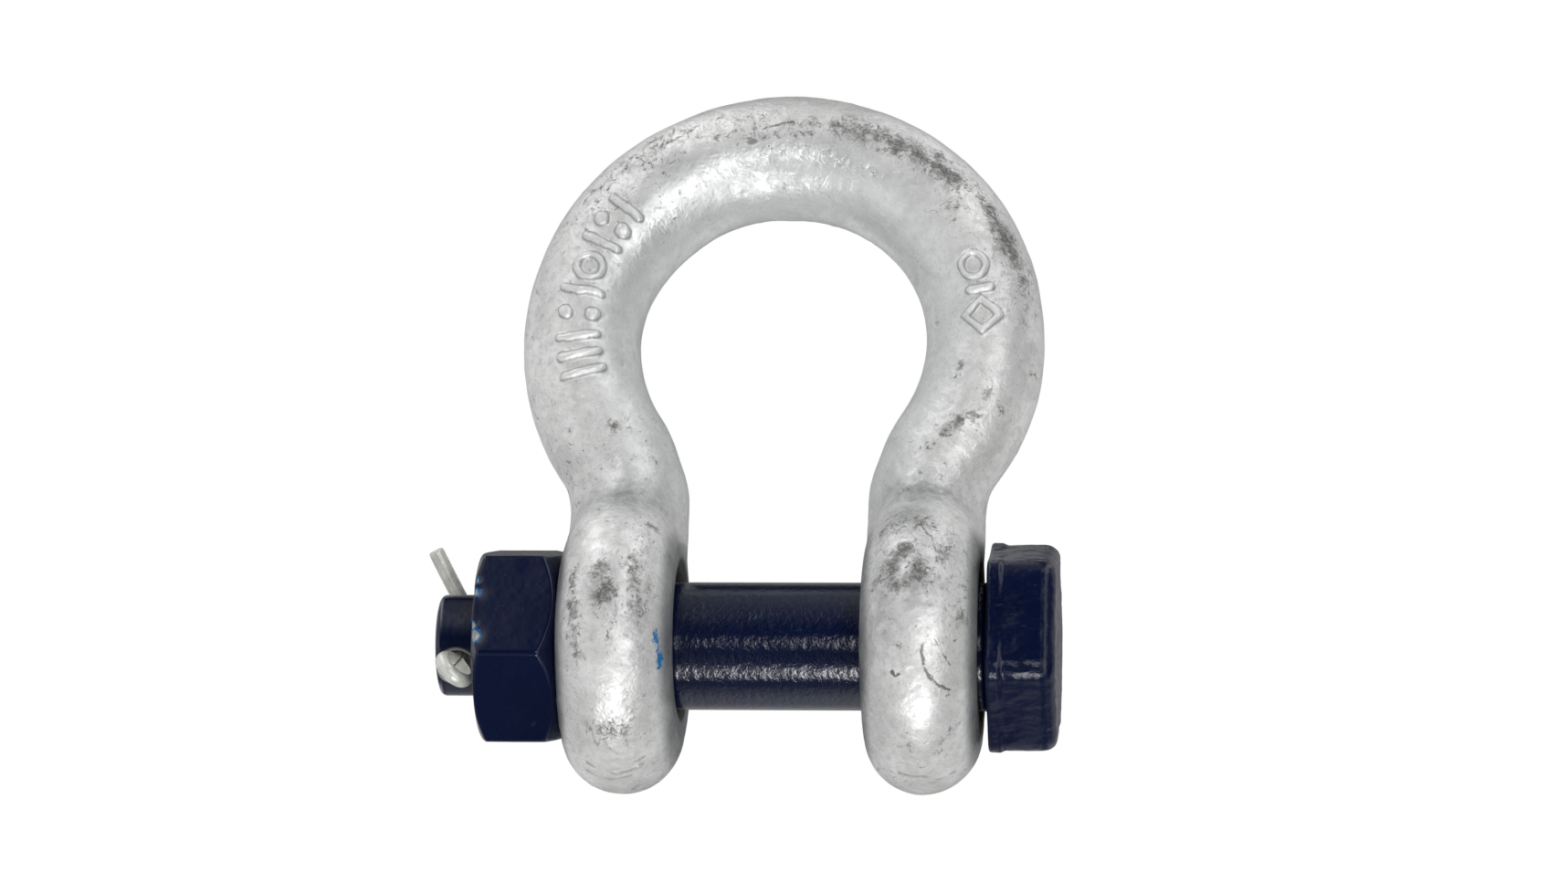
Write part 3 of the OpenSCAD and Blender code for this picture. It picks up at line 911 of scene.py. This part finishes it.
def build_split_pin():
    path, outward = pin_path()
    tangent = np.gradient(path, axis=0)
    tangent /= np.linalg.norm(tangent, axis=1)[:, None]
    outward -= (outward * tangent).sum(1)[:, None] * tangent
    outward /= np.linalg.norm(outward, axis=1)[:, None]
    across = np.cross(tangent, outward)
    section = wire_section()
    count, around = len(path), len(section)
    # each end of the wire is cut square and a little pinched
    pinch = {0: 0.86, 1: 0.97}
    points = []
    for i in range(count):
        scale = pinch.get(min(i, count - 1 - i), 1.0)
        lift = (1 - scale) * 0.7
        points.append(path[i] + across[i] * (section[:, 0] * scale)[:, None]
                      + outward[i] * (section[:, 1] * scale + lift)[:, None])
    points = np.array(points).reshape(-1, 3)
    points = np.vstack([points, points[:around].mean(0), points[-around:].mean(0)])
    sides = [(j, (j + 1) % around) for j in range(around)]
    faces = [[i * around + j, i * around + k, (i + 1) * around + k, (i + 1) * around + j]
             for i in range(count - 1) for j, k in sides]
    first, last = len(points) - 2, len(points) - 1
    base = (count - 1) * around
    for j, k in sides:
        faces += [[first, k, j], [last, base + j, base + k]]
    tilt = rad(90 + PIN_TILT)
    cosine, sine = math.cos(tilt), math.sin(tilt)
    x, y, z = points.T
    points = np.stack([x + CROSS_X, y * cosine - z * sine, y * sine + z * cosine], 1)
    points += 0.02 * fbm3(points, 1.6, 401, 2)
    mesh = make_mesh("split_pin_wire", points, faces)
    ob = add_piece("split_pin_wire", mesh, "split_pin")
    bm = bmesh.new()
    bm.from_mesh(mesh)
    bmesh.ops.recalc_face_normals(bm, faces=bm.faces)
    bm.to_mesh(mesh)
    bm.free()
    subsurf = ob.modifiers.new("smooth", "SUBSURF")
    subsurf.levels = subsurf.render_levels = 1
    return ob


# ------------------------------------------------------------------ shader tools
class Value:
    """A node's output; arithmetic on it adds Math nodes."""

    def __init__(self, graph, socket):
        self.graph = graph
        self.socket = socket

    def __add__(self, other):
        return self.graph.math("ADD", self, other)

    def __radd__(self, other):
        return self.graph.math("ADD", other, self)

    def __sub__(self, other):
        return self.graph.math("SUBTRACT", self, other)

    def __rsub__(self, other):
        return self.graph.math("SUBTRACT", other, self)

    def __mul__(self, other):
        return self.graph.math("MULTIPLY", self, other)

    def step(self, low, high):
        """0 at low, 1 at high, eased; low may be the larger."""
        return self.graph.node("MapRange", {"Value": self, "From Min": low, "From Max": high},
                               interpolation_type="SMOOTHSTEP")

    def above(self, level, gain):
        """How far the value stands above level, times gain, kept within 0 to 1."""
        return self.graph.math("MULTIPLY", self - level, gain, clamp=True)


class Graph:
    """Short names for building a node tree."""

    def __init__(self, tree, output):
        self.tree = tree
        tree.nodes.clear()
        self.output = tree.nodes.new(output)

    def put(self, socket, value):
        if isinstance(value, Value):
            self.tree.links.new(value.socket, socket)
        elif isinstance(value, tuple) and len(value) == 3 and socket.type == "RGBA":
            socket.default_value = (*value, 1)
        else:
            socket.default_value = value

    def node(self, kind, inputs=(), output=0, **settings):
        node = self.tree.nodes.new("ShaderNode" + kind)
        for name, value in settings.items():
            setattr(node, name, value)
        for key, value in dict(inputs).items():
            self.put(node.inputs[key], value)
        return Value(self, node.outputs[output])

    def math(self, operation, a, b=0.0, c=0.0, clamp=False):
        return self.node("Math", {0: a, 1: b, 2: c}, operation=operation, use_clamp=clamp)

    def max(self, a, b):
        return self.math("MAXIMUM", a, b)

    def vector(self, operation, a, b=None):
        inputs = {0: a} if b is None else {0: a, 1: b}
        output = "Value" if operation in ("DOT_PRODUCT", "LENGTH") else "Vector"
        return self.node("VectorMath", inputs, output, operation=operation)


class Material(Graph):
    """A Principled material; sizes and places of its patterns are in millimetres."""

    def __init__(self, name):
        self.material = bpy.data.materials.new(name)
        self.material.use_nodes = True
        super().__init__(self.material.node_tree, "ShaderNodeOutputMaterial")
        self.bsdf = self.node("BsdfPrincipled")
        self.put(self.output.inputs[0], self.bsdf)

    @cached_property
    def place(self):
        return self.node("TexCoord", output="Object")

    def stretched(self, x):
        """Object coordinates with X scaled."""
        return self.node("Mapping", {"Scale": (x, 1, 1), 0: self.place})

    def noise(self, size, detail=3.0, rough=0.55, place=None, distort=0.0, output=0):
        inputs = {"Scale": 1000.0 / size, "Detail": detail, "Roughness": rough,
                  "Distortion": distort, "Vector": place or self.place}
        return self.node("TexNoise", inputs, output)

    def attribute(self, name):
        return self.node("Attribute", output="Fac", attribute_name=name)

    def mix(self, factor, a, b):
        return self.node("Mix", {0: factor, 6: a, 7: b}, output=2, data_type="RGBA")

    def layers(self, color, rows):
        """Lays rows of (amount, colour) over a colour, one after another."""
        for amount, layer in rows:
            color = self.mix(amount, color, layer)
        return color

    def lerp(self, factor, a, b):
        return self.node("Mix", {0: factor, 2: a, 3: b}, data_type="FLOAT")

    def blob(self, centre, size):
        """1 at a point of the object, falling to 0 over size."""
        offset = self.vector("SUBTRACT", self.place, tuple(c * MM for c in centre))
        offset = self.vector("DIVIDE", offset, tuple(s * MM for s in size))
        return self.vector("LENGTH", offset).step(low=1.0, high=0.55)

    def stroke(self, line, width, wobble):
        """1 on a chain of straight lines through points of the object, 0 beyond width."""
        shift = self.noise(size=1.6, detail=3, rough=0.5, output=1)
        shift = self.vector("SUBTRACT", shift, (0.5, 0.5, 0.5))
        shift = self.vector("MULTIPLY", shift, (wobble * MM,) * 3)
        place = self.vector("ADD", self.place, shift)
        nearest = None
        for start, end in zip(line[:-1], line[1:]):
            start = Vector(start) * MM
            span = Vector(end) * MM - start
            offset = self.vector("SUBTRACT", place, tuple(start))
            k = self.math("DIVIDE", self.vector("DOT_PRODUCT", offset, tuple(span)),
                          span.length_squared, clamp=True)
            along = self.node("VectorMath", {0: span, "Scale": k}, operation="SCALE")
            distance = self.vector("LENGTH", self.vector("SUBTRACT", offset, along))
            nearest = distance if nearest is None else self.math("MINIMUM", nearest, distance)
        grain = self.noise(size=0.7, detail=3, rough=0.65) - 0.5
        nearest = self.math("MULTIPLY_ADD", grain, 2.2 * width * MM, nearest)
        return nearest.step(low=width * MM, high=width * MM * 0.35)

    def bump(self, height, strength, distance, normal=None):
        """distance is in metres."""
        inputs = {"Strength": strength, "Distance": distance, "Height": height}
        if normal is not None:
            inputs["Normal"] = normal
        return self.node("Bump", inputs)

    def set(self, **values):
        for name, value in values.items():
            self.put(self.bsdf.socket.node.inputs[name.replace("_", " ")], value)


# ------------------------------------------------------------------ materials
# dark scratches on the bow: points of a line, half-width, amount
SCRATCHES = [
    ([(27.5, -24.3, -7.6), (27.5, -23.7, -9.4), (27.9, -22.9, -11.2), (28.7, -22.0, -12.5),
      (29.9, -21, -13.4), (31, -20.1, -13.8), (32, -19.3, -13.9)], 0.40, 0.9),
    ([(29.5, -24.2, -6.5), (30.9, -22.9, -8.5), (32.1, -21.4, -10.1)], 0.26, 0.9),
    ([(29.6, -25, -1.8), (30.5, -24.6, 1.1), (30.2, -24.4, 4.5)], 0.30, 0.7),
    ([(22.4, -22.1, -11.5), (22.9, -22, -12.3), (23.6, -22.3, -12.1)], 0.36, 1.0),
    ([(26.0, -20.1, 16.0), (27.0, -21.0, 14.6), (28.0, -21.8, 13.2), (28.7, -22.3, 12.1)],
     0.26, 0.8),
    ([(22.7, -16.5, 18.9), (20.8, -17.3, 16.8), (19.4, -18.7, 13.5)], 0.26, 0.5),
    ([(-27.5, -8.4, 88.5), (-23.7, -9.3, 89.9), (-18.4, -9.7, 92.5)], 0.24, 0.55),
    ([(-16.8, -10.2, 91.8), (-11.4, -10.7, 92.2), (-7.3, -10.8, 93.2)], 0.22, 0.55),
    ([(-4, -11, 93.1), (-1.6, -11, 94), (1.6, -10.9, 94.7)], 0.34, 0.9),
]

# brown stains on the bow: centre, radius
STAINS = [
    ((23.7, -24.2, -7.5), 0.75), ((30.4, -12.9, -21), 0.7), ((29.8, -11.2, -22.3), 1.05),
    ((31.2, -9.6, 83.9), 0.5), ((-25.9, -25.4, 3.6), 0.5), ((27.6, -25.2, 2.0), 0.45),
    ((29.6, -24.8, 5.2), 0.5), ((20.6, -23.2, -9.5), 0.45), ((31.6, -19.0, -14.6), 0.5),
]

# blue paint rubbed on to the left ear beside the bolt: points of a line, half-width, wobble
SMEARS = [
    ([(-18.6, -21.0, -4.5), (-18.1, -20.6, -5.7)], 0.95, 1.5),
    ([(-17.9, -20.0, -6.9), (-17.5, -19.0, -8.3), (-17.7, -18.1, -9.8)], 1.0, 1.6),
]


def galvanised_steel():
    mat = Material("galvanised_steel")
    heavy, lump, mark, fold, worn, inner, shade, bore, clean, flank = (
        mat.attribute(name) for name in ("heavy", "lump", "mark", "fold", "worn", "inner",
                                         "shade", "bore", "clean", "flank"))
    big = mat.noise(size=26, detail=3, rough=0.5)
    mid = mat.noise(size=6.5, detail=4, rough=0.6, distort=0.6)
    fine = mat.noise(size=1.6, detail=5, rough=0.65, distort=0.4)
    grain = mat.noise(size=0.5, detail=3, rough=0.65)

    # zone says where the coat is speckled; it lowers the level that the noise must pass
    zone = big.step(low=0.42, high=0.64) * 0.34 + 0.13 + heavy * 0.95 - inner * 0.28
    smudge = mat.noise(size=2.7, detail=6, rough=0.68, distort=0.5)
    smudge = smudge.above(0.635 - zone * 0.175, gain=7.0)
    flecks = mat.noise(size=1.9, detail=6, rough=0.74, distort=0.7)
    flecks = flecks.above(0.640 - zone * 0.150, gain=13.0)
    breaks = mat.noise(size=0.55, detail=3, rough=0.6, distort=0.6)
    flecks = flecks * breaks.step(low=0.34, high=0.52)
    specks = mat.noise(size=0.75, detail=5, rough=0.74, distort=0.8)
    specks = specks.above(0.640 - zone * 0.120, gain=13.0)
    flecks = mat.max(flecks * 0.9, specks * 0.75)

    mottle = mat.noise(size=3.4, detail=4, rough=0.6)
    # painted shade round the edges of the raised marks
    mark_edge_shade = mark.step(low=0.04, high=0.22) * mark.step(low=0.66, high=0.34)
    # painted shade on both sides of each fold's ridge
    fold_shade = fold.step(low=0.10, high=0.35) * (fold.step(low=0.9, high=0.5) * 0.45)
    zinc = mat.mix(big.step(low=0.3, high=0.7), (0.92, 0.92, 0.913), (0.84, 0.845, 0.84))
    color = mat.layers(zinc, [
        # mottling of the coat, from coarse to fine
        (mottle.step(low=0.44, high=0.62) * 0.75, (0.78, 0.785, 0.772)),
        (fine.step(low=0.44, high=0.66) * 0.55, (0.66, 0.665, 0.655)),
        (grain.step(low=0.55, high=0.68) * 0.34, (0.45, 0.455, 0.45)),
        # painted shade in bluish grey on the inner side, grey patches, grey painted shade at the
        # listed spots, a painted highlight along the line inside the crown
        (inner * 0.42, (0.60, 0.635, 0.64)),
        (mid.step(low=0.46, high=0.72) * 0.22, (0.30, 0.305, 0.290)),
        (shade * (0.50 + fine.step(low=0.35, high=0.6) * 0.28), (0.20, 0.207, 0.215)),
        (clean * 0.88, (0.97, 0.975, 0.985)),
        # dross
        (smudge * (0.26 + heavy * 0.54), (0.215, 0.22, 0.205)),
        (flecks * 0.85, (0.085, 0.085, 0.078)),
        (lump.step(low=0.35, high=0.9) * 0.60, (0.12, 0.12, 0.115)),
        # painted shade beside the folds, then a painted highlight on the tops of the raised marks
        # and painted shade round their edges
        (fold_shade, (0.25, 0.255, 0.25)),
        (mark.step(low=0.6, high=0.95) * 0.55, (0.80, 0.81, 0.81)),
        (mark_edge_shade * 0.55, (0.17, 0.172, 0.168)),
        # worn bearing faces, painted shade on the ear sides, a painted shadow at the mouths of the
        # eye holes
        (worn * 0.45, (0.36, 0.37, 0.38)),
        (flank * 0.90, (0.10, 0.107, 0.118)),
        (bore * 0.96, (0.012, 0.012, 0.014)),
    ])
    color = mat.layers(color, [
        (mat.stroke(line, width, wobble=0.9) * (amount * 0.85), (0.105, 0.082, 0.070))
        for line, width, amount in SCRATCHES])
    patchy = fine.step(low=0.36, high=0.56) * grain.step(low=0.40, high=0.56)
    color = mat.layers(color, [
        (mat.blob(centre, (size, size, size * 1.3)) * patchy * 0.9, (0.15, 0.105, 0.082))
        for centre, size in STAINS])
    smear = mat.max(*(mat.stroke(line, width, wobble) for line, width, wobble in SMEARS))
    color = mat.mix(smear, color, (0.012, 0.145, 0.36))

    rough = mat.lerp(fine.step(low=0.3, high=0.75), a=0.35, b=0.52)
    rough = rough + mat.max(flecks, smudge * 0.6) * 0.20 + bore * 0.3 - clean * 0.14
    metal = mat.lerp(mid.step(low=0.35, high=0.65), a=0.66, b=0.50)
    metal = (metal - flecks * 0.30 + clean * 0.24) * (1.0 - mat.max(smear, bore))
    # orange peel and dents, then the grain of the zinc
    height = mid * 0.34 + fine * 0.15 - mat.max(flecks, smudge * 0.6) * 0.035
    normal = mat.bump(height, strength=1.0, distance=1.0 * MM)
    normal = mat.bump(grain, strength=1.0, distance=0.030 * MM, normal=normal)
    mat.set(Base_Color=color, Roughness=rough, Metallic=metal, Normal=normal)
    return mat.material


def navy_paint(mat):
    """Colour shared by the painted pieces: deep navy, brighter where thin, with a painted grey
    sheen at grazing angles.
    """
    patches = mat.noise(size=9, detail=3, rough=0.5).step(low=0.35, high=0.7)
    color = mat.mix(patches, (0.0006, 0.0038, 0.023), (0.0013, 0.0046, 0.028))
    thin = mat.noise(size=1.3, detail=4, rough=0.6, distort=0.5).above(0.665, gain=12.0)
    # painted sheen: grey laid over the navy at grazing angles, in patches
    facing = mat.node("LayerWeight", {"Blend": 0.5}, output="Facing")
    patchy_sheen = mat.noise(size=1.1, detail=4, rough=0.65, place=mat.stretched(x=0.35))
    patchy_sheen = 0.65 + patchy_sheen.step(low=0.4, high=0.6) * 0.35
    return mat.layers(color, [
        (thin * 0.55, (0.004, 0.05, 0.13)),
        (facing.step(low=0.70, high=0.92) * patchy_sheen, (0.20, 0.20, 0.225)),
    ])


def painted_bolt():
    mat = Material("painted_bolt")
    head, hole = mat.attribute("head"), mat.attribute("hole")
    # bare metal down in the cross hole
    color = mat.mix(hole, navy_paint(mat), (0.30, 0.31, 0.30))
    # tool marks round the shank under the paint, and nibs of dust in it
    wave = mat.node("TexWave", {"Scale": 1000.0 / 0.85 / 6.283, "Distortion": 0.5,
                                "Detail": 1.0, "Vector": mat.place},
                    output=1, wave_type="BANDS", bands_direction="X")
    along = mat.node("SeparateXYZ", {0: mat.place})
    shank = (1.0 - head) * along.step(low=TAIL_X * MM, high=(TAIL_X + 1) * MM)
    nib = (mat.noise(size=0.9, detail=3, rough=0.6, distort=0.3) - 0.5) * 1.4
    shank_height = wave * shank * 0.03 + nib * shank * 0.42
    shank_height = shank_height + mat.noise(size=3.0, detail=3, rough=0.5) * 0.5
    head_height = (mat.noise(size=1.6, detail=4, rough=0.6, place=mat.stretched(x=0.4)) * 0.8
                   + mat.noise(size=0.5, detail=3, rough=0.6) * 0.2)
    height = mat.lerp(head, shank_height, head_height)
    mat.set(Base_Color=color, Metallic=hole * 0.9,
            Roughness=mat.lerp(head, a=0.15, b=0.20) + hole * 0.25,
            Normal=mat.bump(height, strength=1.0,
                            distance=mat.lerp(head, a=0.10 * MM, b=0.13 * MM)),
            IOR=mat.lerp(head, a=1.62, b=1.39))
    return mat.material


def painted_nut():
    mat = Material("painted_nut")
    # each knock shows bare metal inside a rim of brighter blue
    chip = mat.attribute("chip") + (mat.noise(size=0.9, detail=4, rough=0.6) - 0.5) * 0.7
    blue = chip.step(low=0.28, high=0.36)
    bare = chip.step(low=0.52, high=0.60)
    color = mat.layers(navy_paint(mat), [
        (blue, (0.002, 0.075, 0.22)),
        (bare, (0.32, 0.34, 0.34)),
    ])
    height = (mat.noise(size=3.2, detail=3, rough=0.55) * 0.7
              + mat.noise(size=0.7, detail=2, rough=0.5) * 0.12 - blue * 0.35)
    mat.set(Base_Color=color, Metallic=bare * 0.85, Roughness=mat.lerp(bare, a=0.16, b=0.4),
            Normal=mat.bump(height, strength=0.08, distance=0.10 * MM), IOR=1.39)
    return mat.material


def plated_wire():
    mat = Material("plated_wire")
    patches = mat.noise(size=2.2, detail=4, rough=0.6)
    grain = mat.noise(size=0.5, detail=3, rough=0.65)
    color = mat.mix(patches.step(low=0.35, high=0.7), (0.74, 0.75, 0.70), (0.58, 0.59, 0.55))
    color = mat.mix(grain.step(low=0.62, high=0.72) * 0.5, color, (0.16, 0.16, 0.15))
    mat.set(Base_Color=color, Metallic=0.38,
            Roughness=mat.lerp(grain.step(low=0.3, high=0.7), a=0.30, b=0.46),
            Normal=mat.bump(patches * 0.6 + grain * 0.3, strength=0.35, distance=0.05 * MM))
    return mat.material


def floor_material():
    mat = Material("floor")
    mat.set(Base_Color=(0.82, 0.82, 0.82), Roughness=0.7)
    # seen from below, the floor is clear
    below = mat.node("NewGeometry", output="Backfacing")
    clear = mat.node("BsdfTransparent")
    mat.put(mat.output.inputs[0], mat.node("MixShader", {0: below, 1: mat.bsdf, 2: clear}))
    return mat.material


# ------------------------------------------------------------------ camera
CAMERA_RISE = rad(20.3)     # it looks up at the shackle from the front, below it
CAMERA_TURN = rad(5.21)
CAMERA_DISTANCE = 900.0
VIEW_WIDTH = 272.539683     # width of the picture at the origin
ORIGIN_RIGHT = -1.825397    # where the origin lies from the picture's middle
ORIGIN_UP = -35.603175
SENSOR_WIDTH = 36

camera_right = Vector((math.cos(CAMERA_TURN), math.cos(CAMERA_RISE) * math.sin(CAMERA_TURN),
                       math.sin(CAMERA_RISE) * math.sin(CAMERA_TURN)))
camera_up = Vector((0, -math.sin(CAMERA_RISE), math.cos(CAMERA_RISE)))
camera_into = Vector((-math.sin(CAMERA_TURN), math.cos(CAMERA_RISE) * math.cos(CAMERA_TURN),
                      math.sin(CAMERA_RISE) * math.cos(CAMERA_TURN)))
to_camera = -camera_into


def add_camera():
    camera = link_object("camera", bpy.data.cameras.new("camera"))
    camera.data.sensor_width = SENSOR_WIDTH
    camera.data.lens = SENSOR_WIDTH * CAMERA_DISTANCE / VIEW_WIDTH
    camera.data.clip_start = 0.05
    camera.data.clip_end = 20
    place = -(camera_right * ORIGIN_RIGHT + camera_up * ORIGIN_UP
              + camera_into * CAMERA_DISTANCE) * MM
    axes = Matrix((camera_right, camera_up, to_camera)).transposed().to_4x4()
    camera.matrix_world = Matrix.Translation(place) @ axes
    bpy.context.scene.camera = camera


# ------------------------------------------------------------------ floor, light, surroundings
def add_floor():
    count = 24
    half, drop = 1.2, 0.0004            # metres
    marks = np.linspace(-half, half, count)
    points = [(x, y, cad_lo.z - drop) for y in marks for x in marks]
    faces = [[j * count + i, j * count + i + 1, (j + 1) * count + i + 1, (j + 1) * count + i]
             for j in range(count - 1) for i in range(count - 1)]
    mesh = bpy.data.meshes.new("floor")
    mesh.from_pydata(points, [], faces)
    floor = link_object("floor", mesh)
    mesh.materials.append(floor_material())
    floor.visible_shadow = False
    floor.visible_glossy = False
    floor.visible_transmission = False


EVEN_ANGLES = range(-180, 181, 20)
# Studio walls, in strips. Each row: how far right the strip stands (sine of its angle), its
# half-width, and (angle, brightness) round the object, 0 towards the camera and 90 overhead.
WALLS = [
    (-0.85, 0.45, [*zip(EVEN_ANGLES, (
        0.98, 0.71, 0.44, 0.16, 0.26, 0.36, 0.45, 0.66, 0.86, 1.06,
        0.9, 0.74, 0.58, 0.67, 0.76, 0.85, 0.89, 0.94, 0.98))]),
    (-0.4, 0.25, [*zip(EVEN_ANGLES, (
        0.48, 1.0, 1.23, 1.03, 0.74, 0.36, 0.5, 1.07, 0.65, 0.0,
        0.0, 0.45, 1.96, 2.8, 2.39, 1.78, 0.97, 0.43, 0.48))]),
    (0.0, 0.2, [
        (-180, 0.05), (-170, 0.09), (-148, 0.53), (-137, 0.54), (-126, 0.55), (-115, 0.73),
        (-104, 0.91), (-94, 0.8), (-84, 0.69), (-74, 0.3),
        *((angle, 0.0) for angle in range(-64, 33, 8)),
        (46, 0.0), (60, 0.18), (74, 0.34), (90, 0.59), (112, 0.48), (134, 0.0), (156, 0.31),
        (180, 0.05)]),
    (0.4, 0.25, [*zip(EVEN_ANGLES, (
        0.27, 0.47, 0.74, 0.98, 0.83, 0.28, 0.55, 1.46, 2.5, 3.59,
        2.38, 1.68, 2.29, 2.55, 2.07, 1.49, 0.81, 0.35, 0.27))]),
    (0.85, 0.45, [*zip(EVEN_ANGLES, (
        0.6, 0.67, 0.74, 0.8, 0.54, 0.27, 0.0, 0.05, 0.1, 0.15,
        0.17, 0.18, 0.2, 0.42, 0.64, 0.86, 0.78, 0.69, 0.6))]),
]
WALL_RANGE = 16.0           # brightness that a ramp's white stands for
LIGHT_GAIN = 1.06           # on walls and softboxes alike


def fill_ramp(ramp, stops):
    elements = ramp.elements
    while len(elements) > 1:
        elements.remove(elements[-1])
    for i, (angle, brightness) in enumerate(stops):
        position = (angle + 180) / 360
        element = elements.new(position) if i else elements[0]
        element.position = position
        element.color = (brightness / WALL_RANGE,) * 3 + (1,)


def add_world():
    """Studio walls for light and reflections, plain white for the camera."""
    world = bpy.data.worlds.new("world")
    bpy.context.scene.world = world
    world.use_nodes = True
    graph = Graph(world.node_tree, "ShaderNodeOutputWorld")
    ray = graph.node("TexCoord", output="Generated")

    def wall_math(operation, a, b=0.0):
        return graph.node("Math", {0: a, 1: b}, operation=operation)

    toward, above, across = (graph.vector("DOT_PRODUCT", ray, tuple(direction))
                             for direction in (to_camera, camera_up, camera_right))
    angle = wall_math("ARCTAN2", above, toward)
    turn = wall_math("ADD", wall_math("DIVIDE", angle, 2 * math.pi), 0.5)
    total = None
    for centre, half_width, stops in WALLS:
        strip = graph.node("ValToRGB", {0: turn})
        fill_ramp(strip.socket.node.color_ramp, stops)
        offset = wall_math("ABSOLUTE", wall_math("SUBTRACT", across, centre))
        tent = wall_math("SUBTRACT", 1.0, wall_math("DIVIDE", offset, half_width))
        part = wall_math("MULTIPLY", wall_math("MAXIMUM", tent, 0.0), strip)
        total = part if total is None else wall_math("ADD", total, part)
    walls = graph.node("Background", {0: total, 1: WALL_RANGE * LIGHT_GAIN})
    white = graph.node("Background", {0: (1, 1, 1), 1: 1.0})
    seen = graph.node("LightPath", output="Is Camera Ray")
    graph.put(graph.output.inputs[0], graph.node("MixShader", {0: seen, 1: walls, 2: white}))


def add_softbox(name, rise, wide, high, radiance):
    """A softbox facing the object, rise degrees above the line to the camera.

    wide and high are its size in degrees, seen from the object.
    """
    distance = 2.0                      # metres
    direction = to_camera * math.cos(rad(rise)) + camera_up * math.sin(rad(rise))
    light = bpy.data.lights.new(name, "AREA")
    light.shape = "RECTANGLE"
    light.size = 2 * distance * math.tan(rad(wide / 2))
    light.size_y = 2 * distance * math.tan(rad(high / 2))
    light.energy = 4 * light.size * light.size_y * radiance * LIGHT_GAIN
    ob = link_object(name, light)
    ob.location = direction * distance
    axes = Matrix((camera_right, direction.cross(camera_right), direction))
    ob.rotation_euler = axes.transposed().to_euler()


# ------------------------------------------------------------------ scene
pieces = {
    "bow": build_bow(),
    "bolt": build_bolt(),
    "nut": build_nut(),
    "split_pin": build_split_pin(),
}
materials = {
    "bow": galvanised_steel(),
    "bolt": painted_bolt(),
    "nut": painted_nut(),
    "split_pin": plated_wire(),
}
for name, ob in [*pieces.items(), *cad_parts.items()]:
    ob.data.materials.clear()
    ob.data.materials.append(materials[name])

add_camera()
add_floor()
add_world()
add_softbox("low_softbox", rise=-47.0, wide=12, high=19.0, radiance=9.6)
add_softbox("front_softbox", rise=8.1, wide=11.5, high=17.0, radiance=4.1)

bpy.context.scene.view_settings.view_transform = "Standard"
bpy.context.scene.view_settings.look = "None"
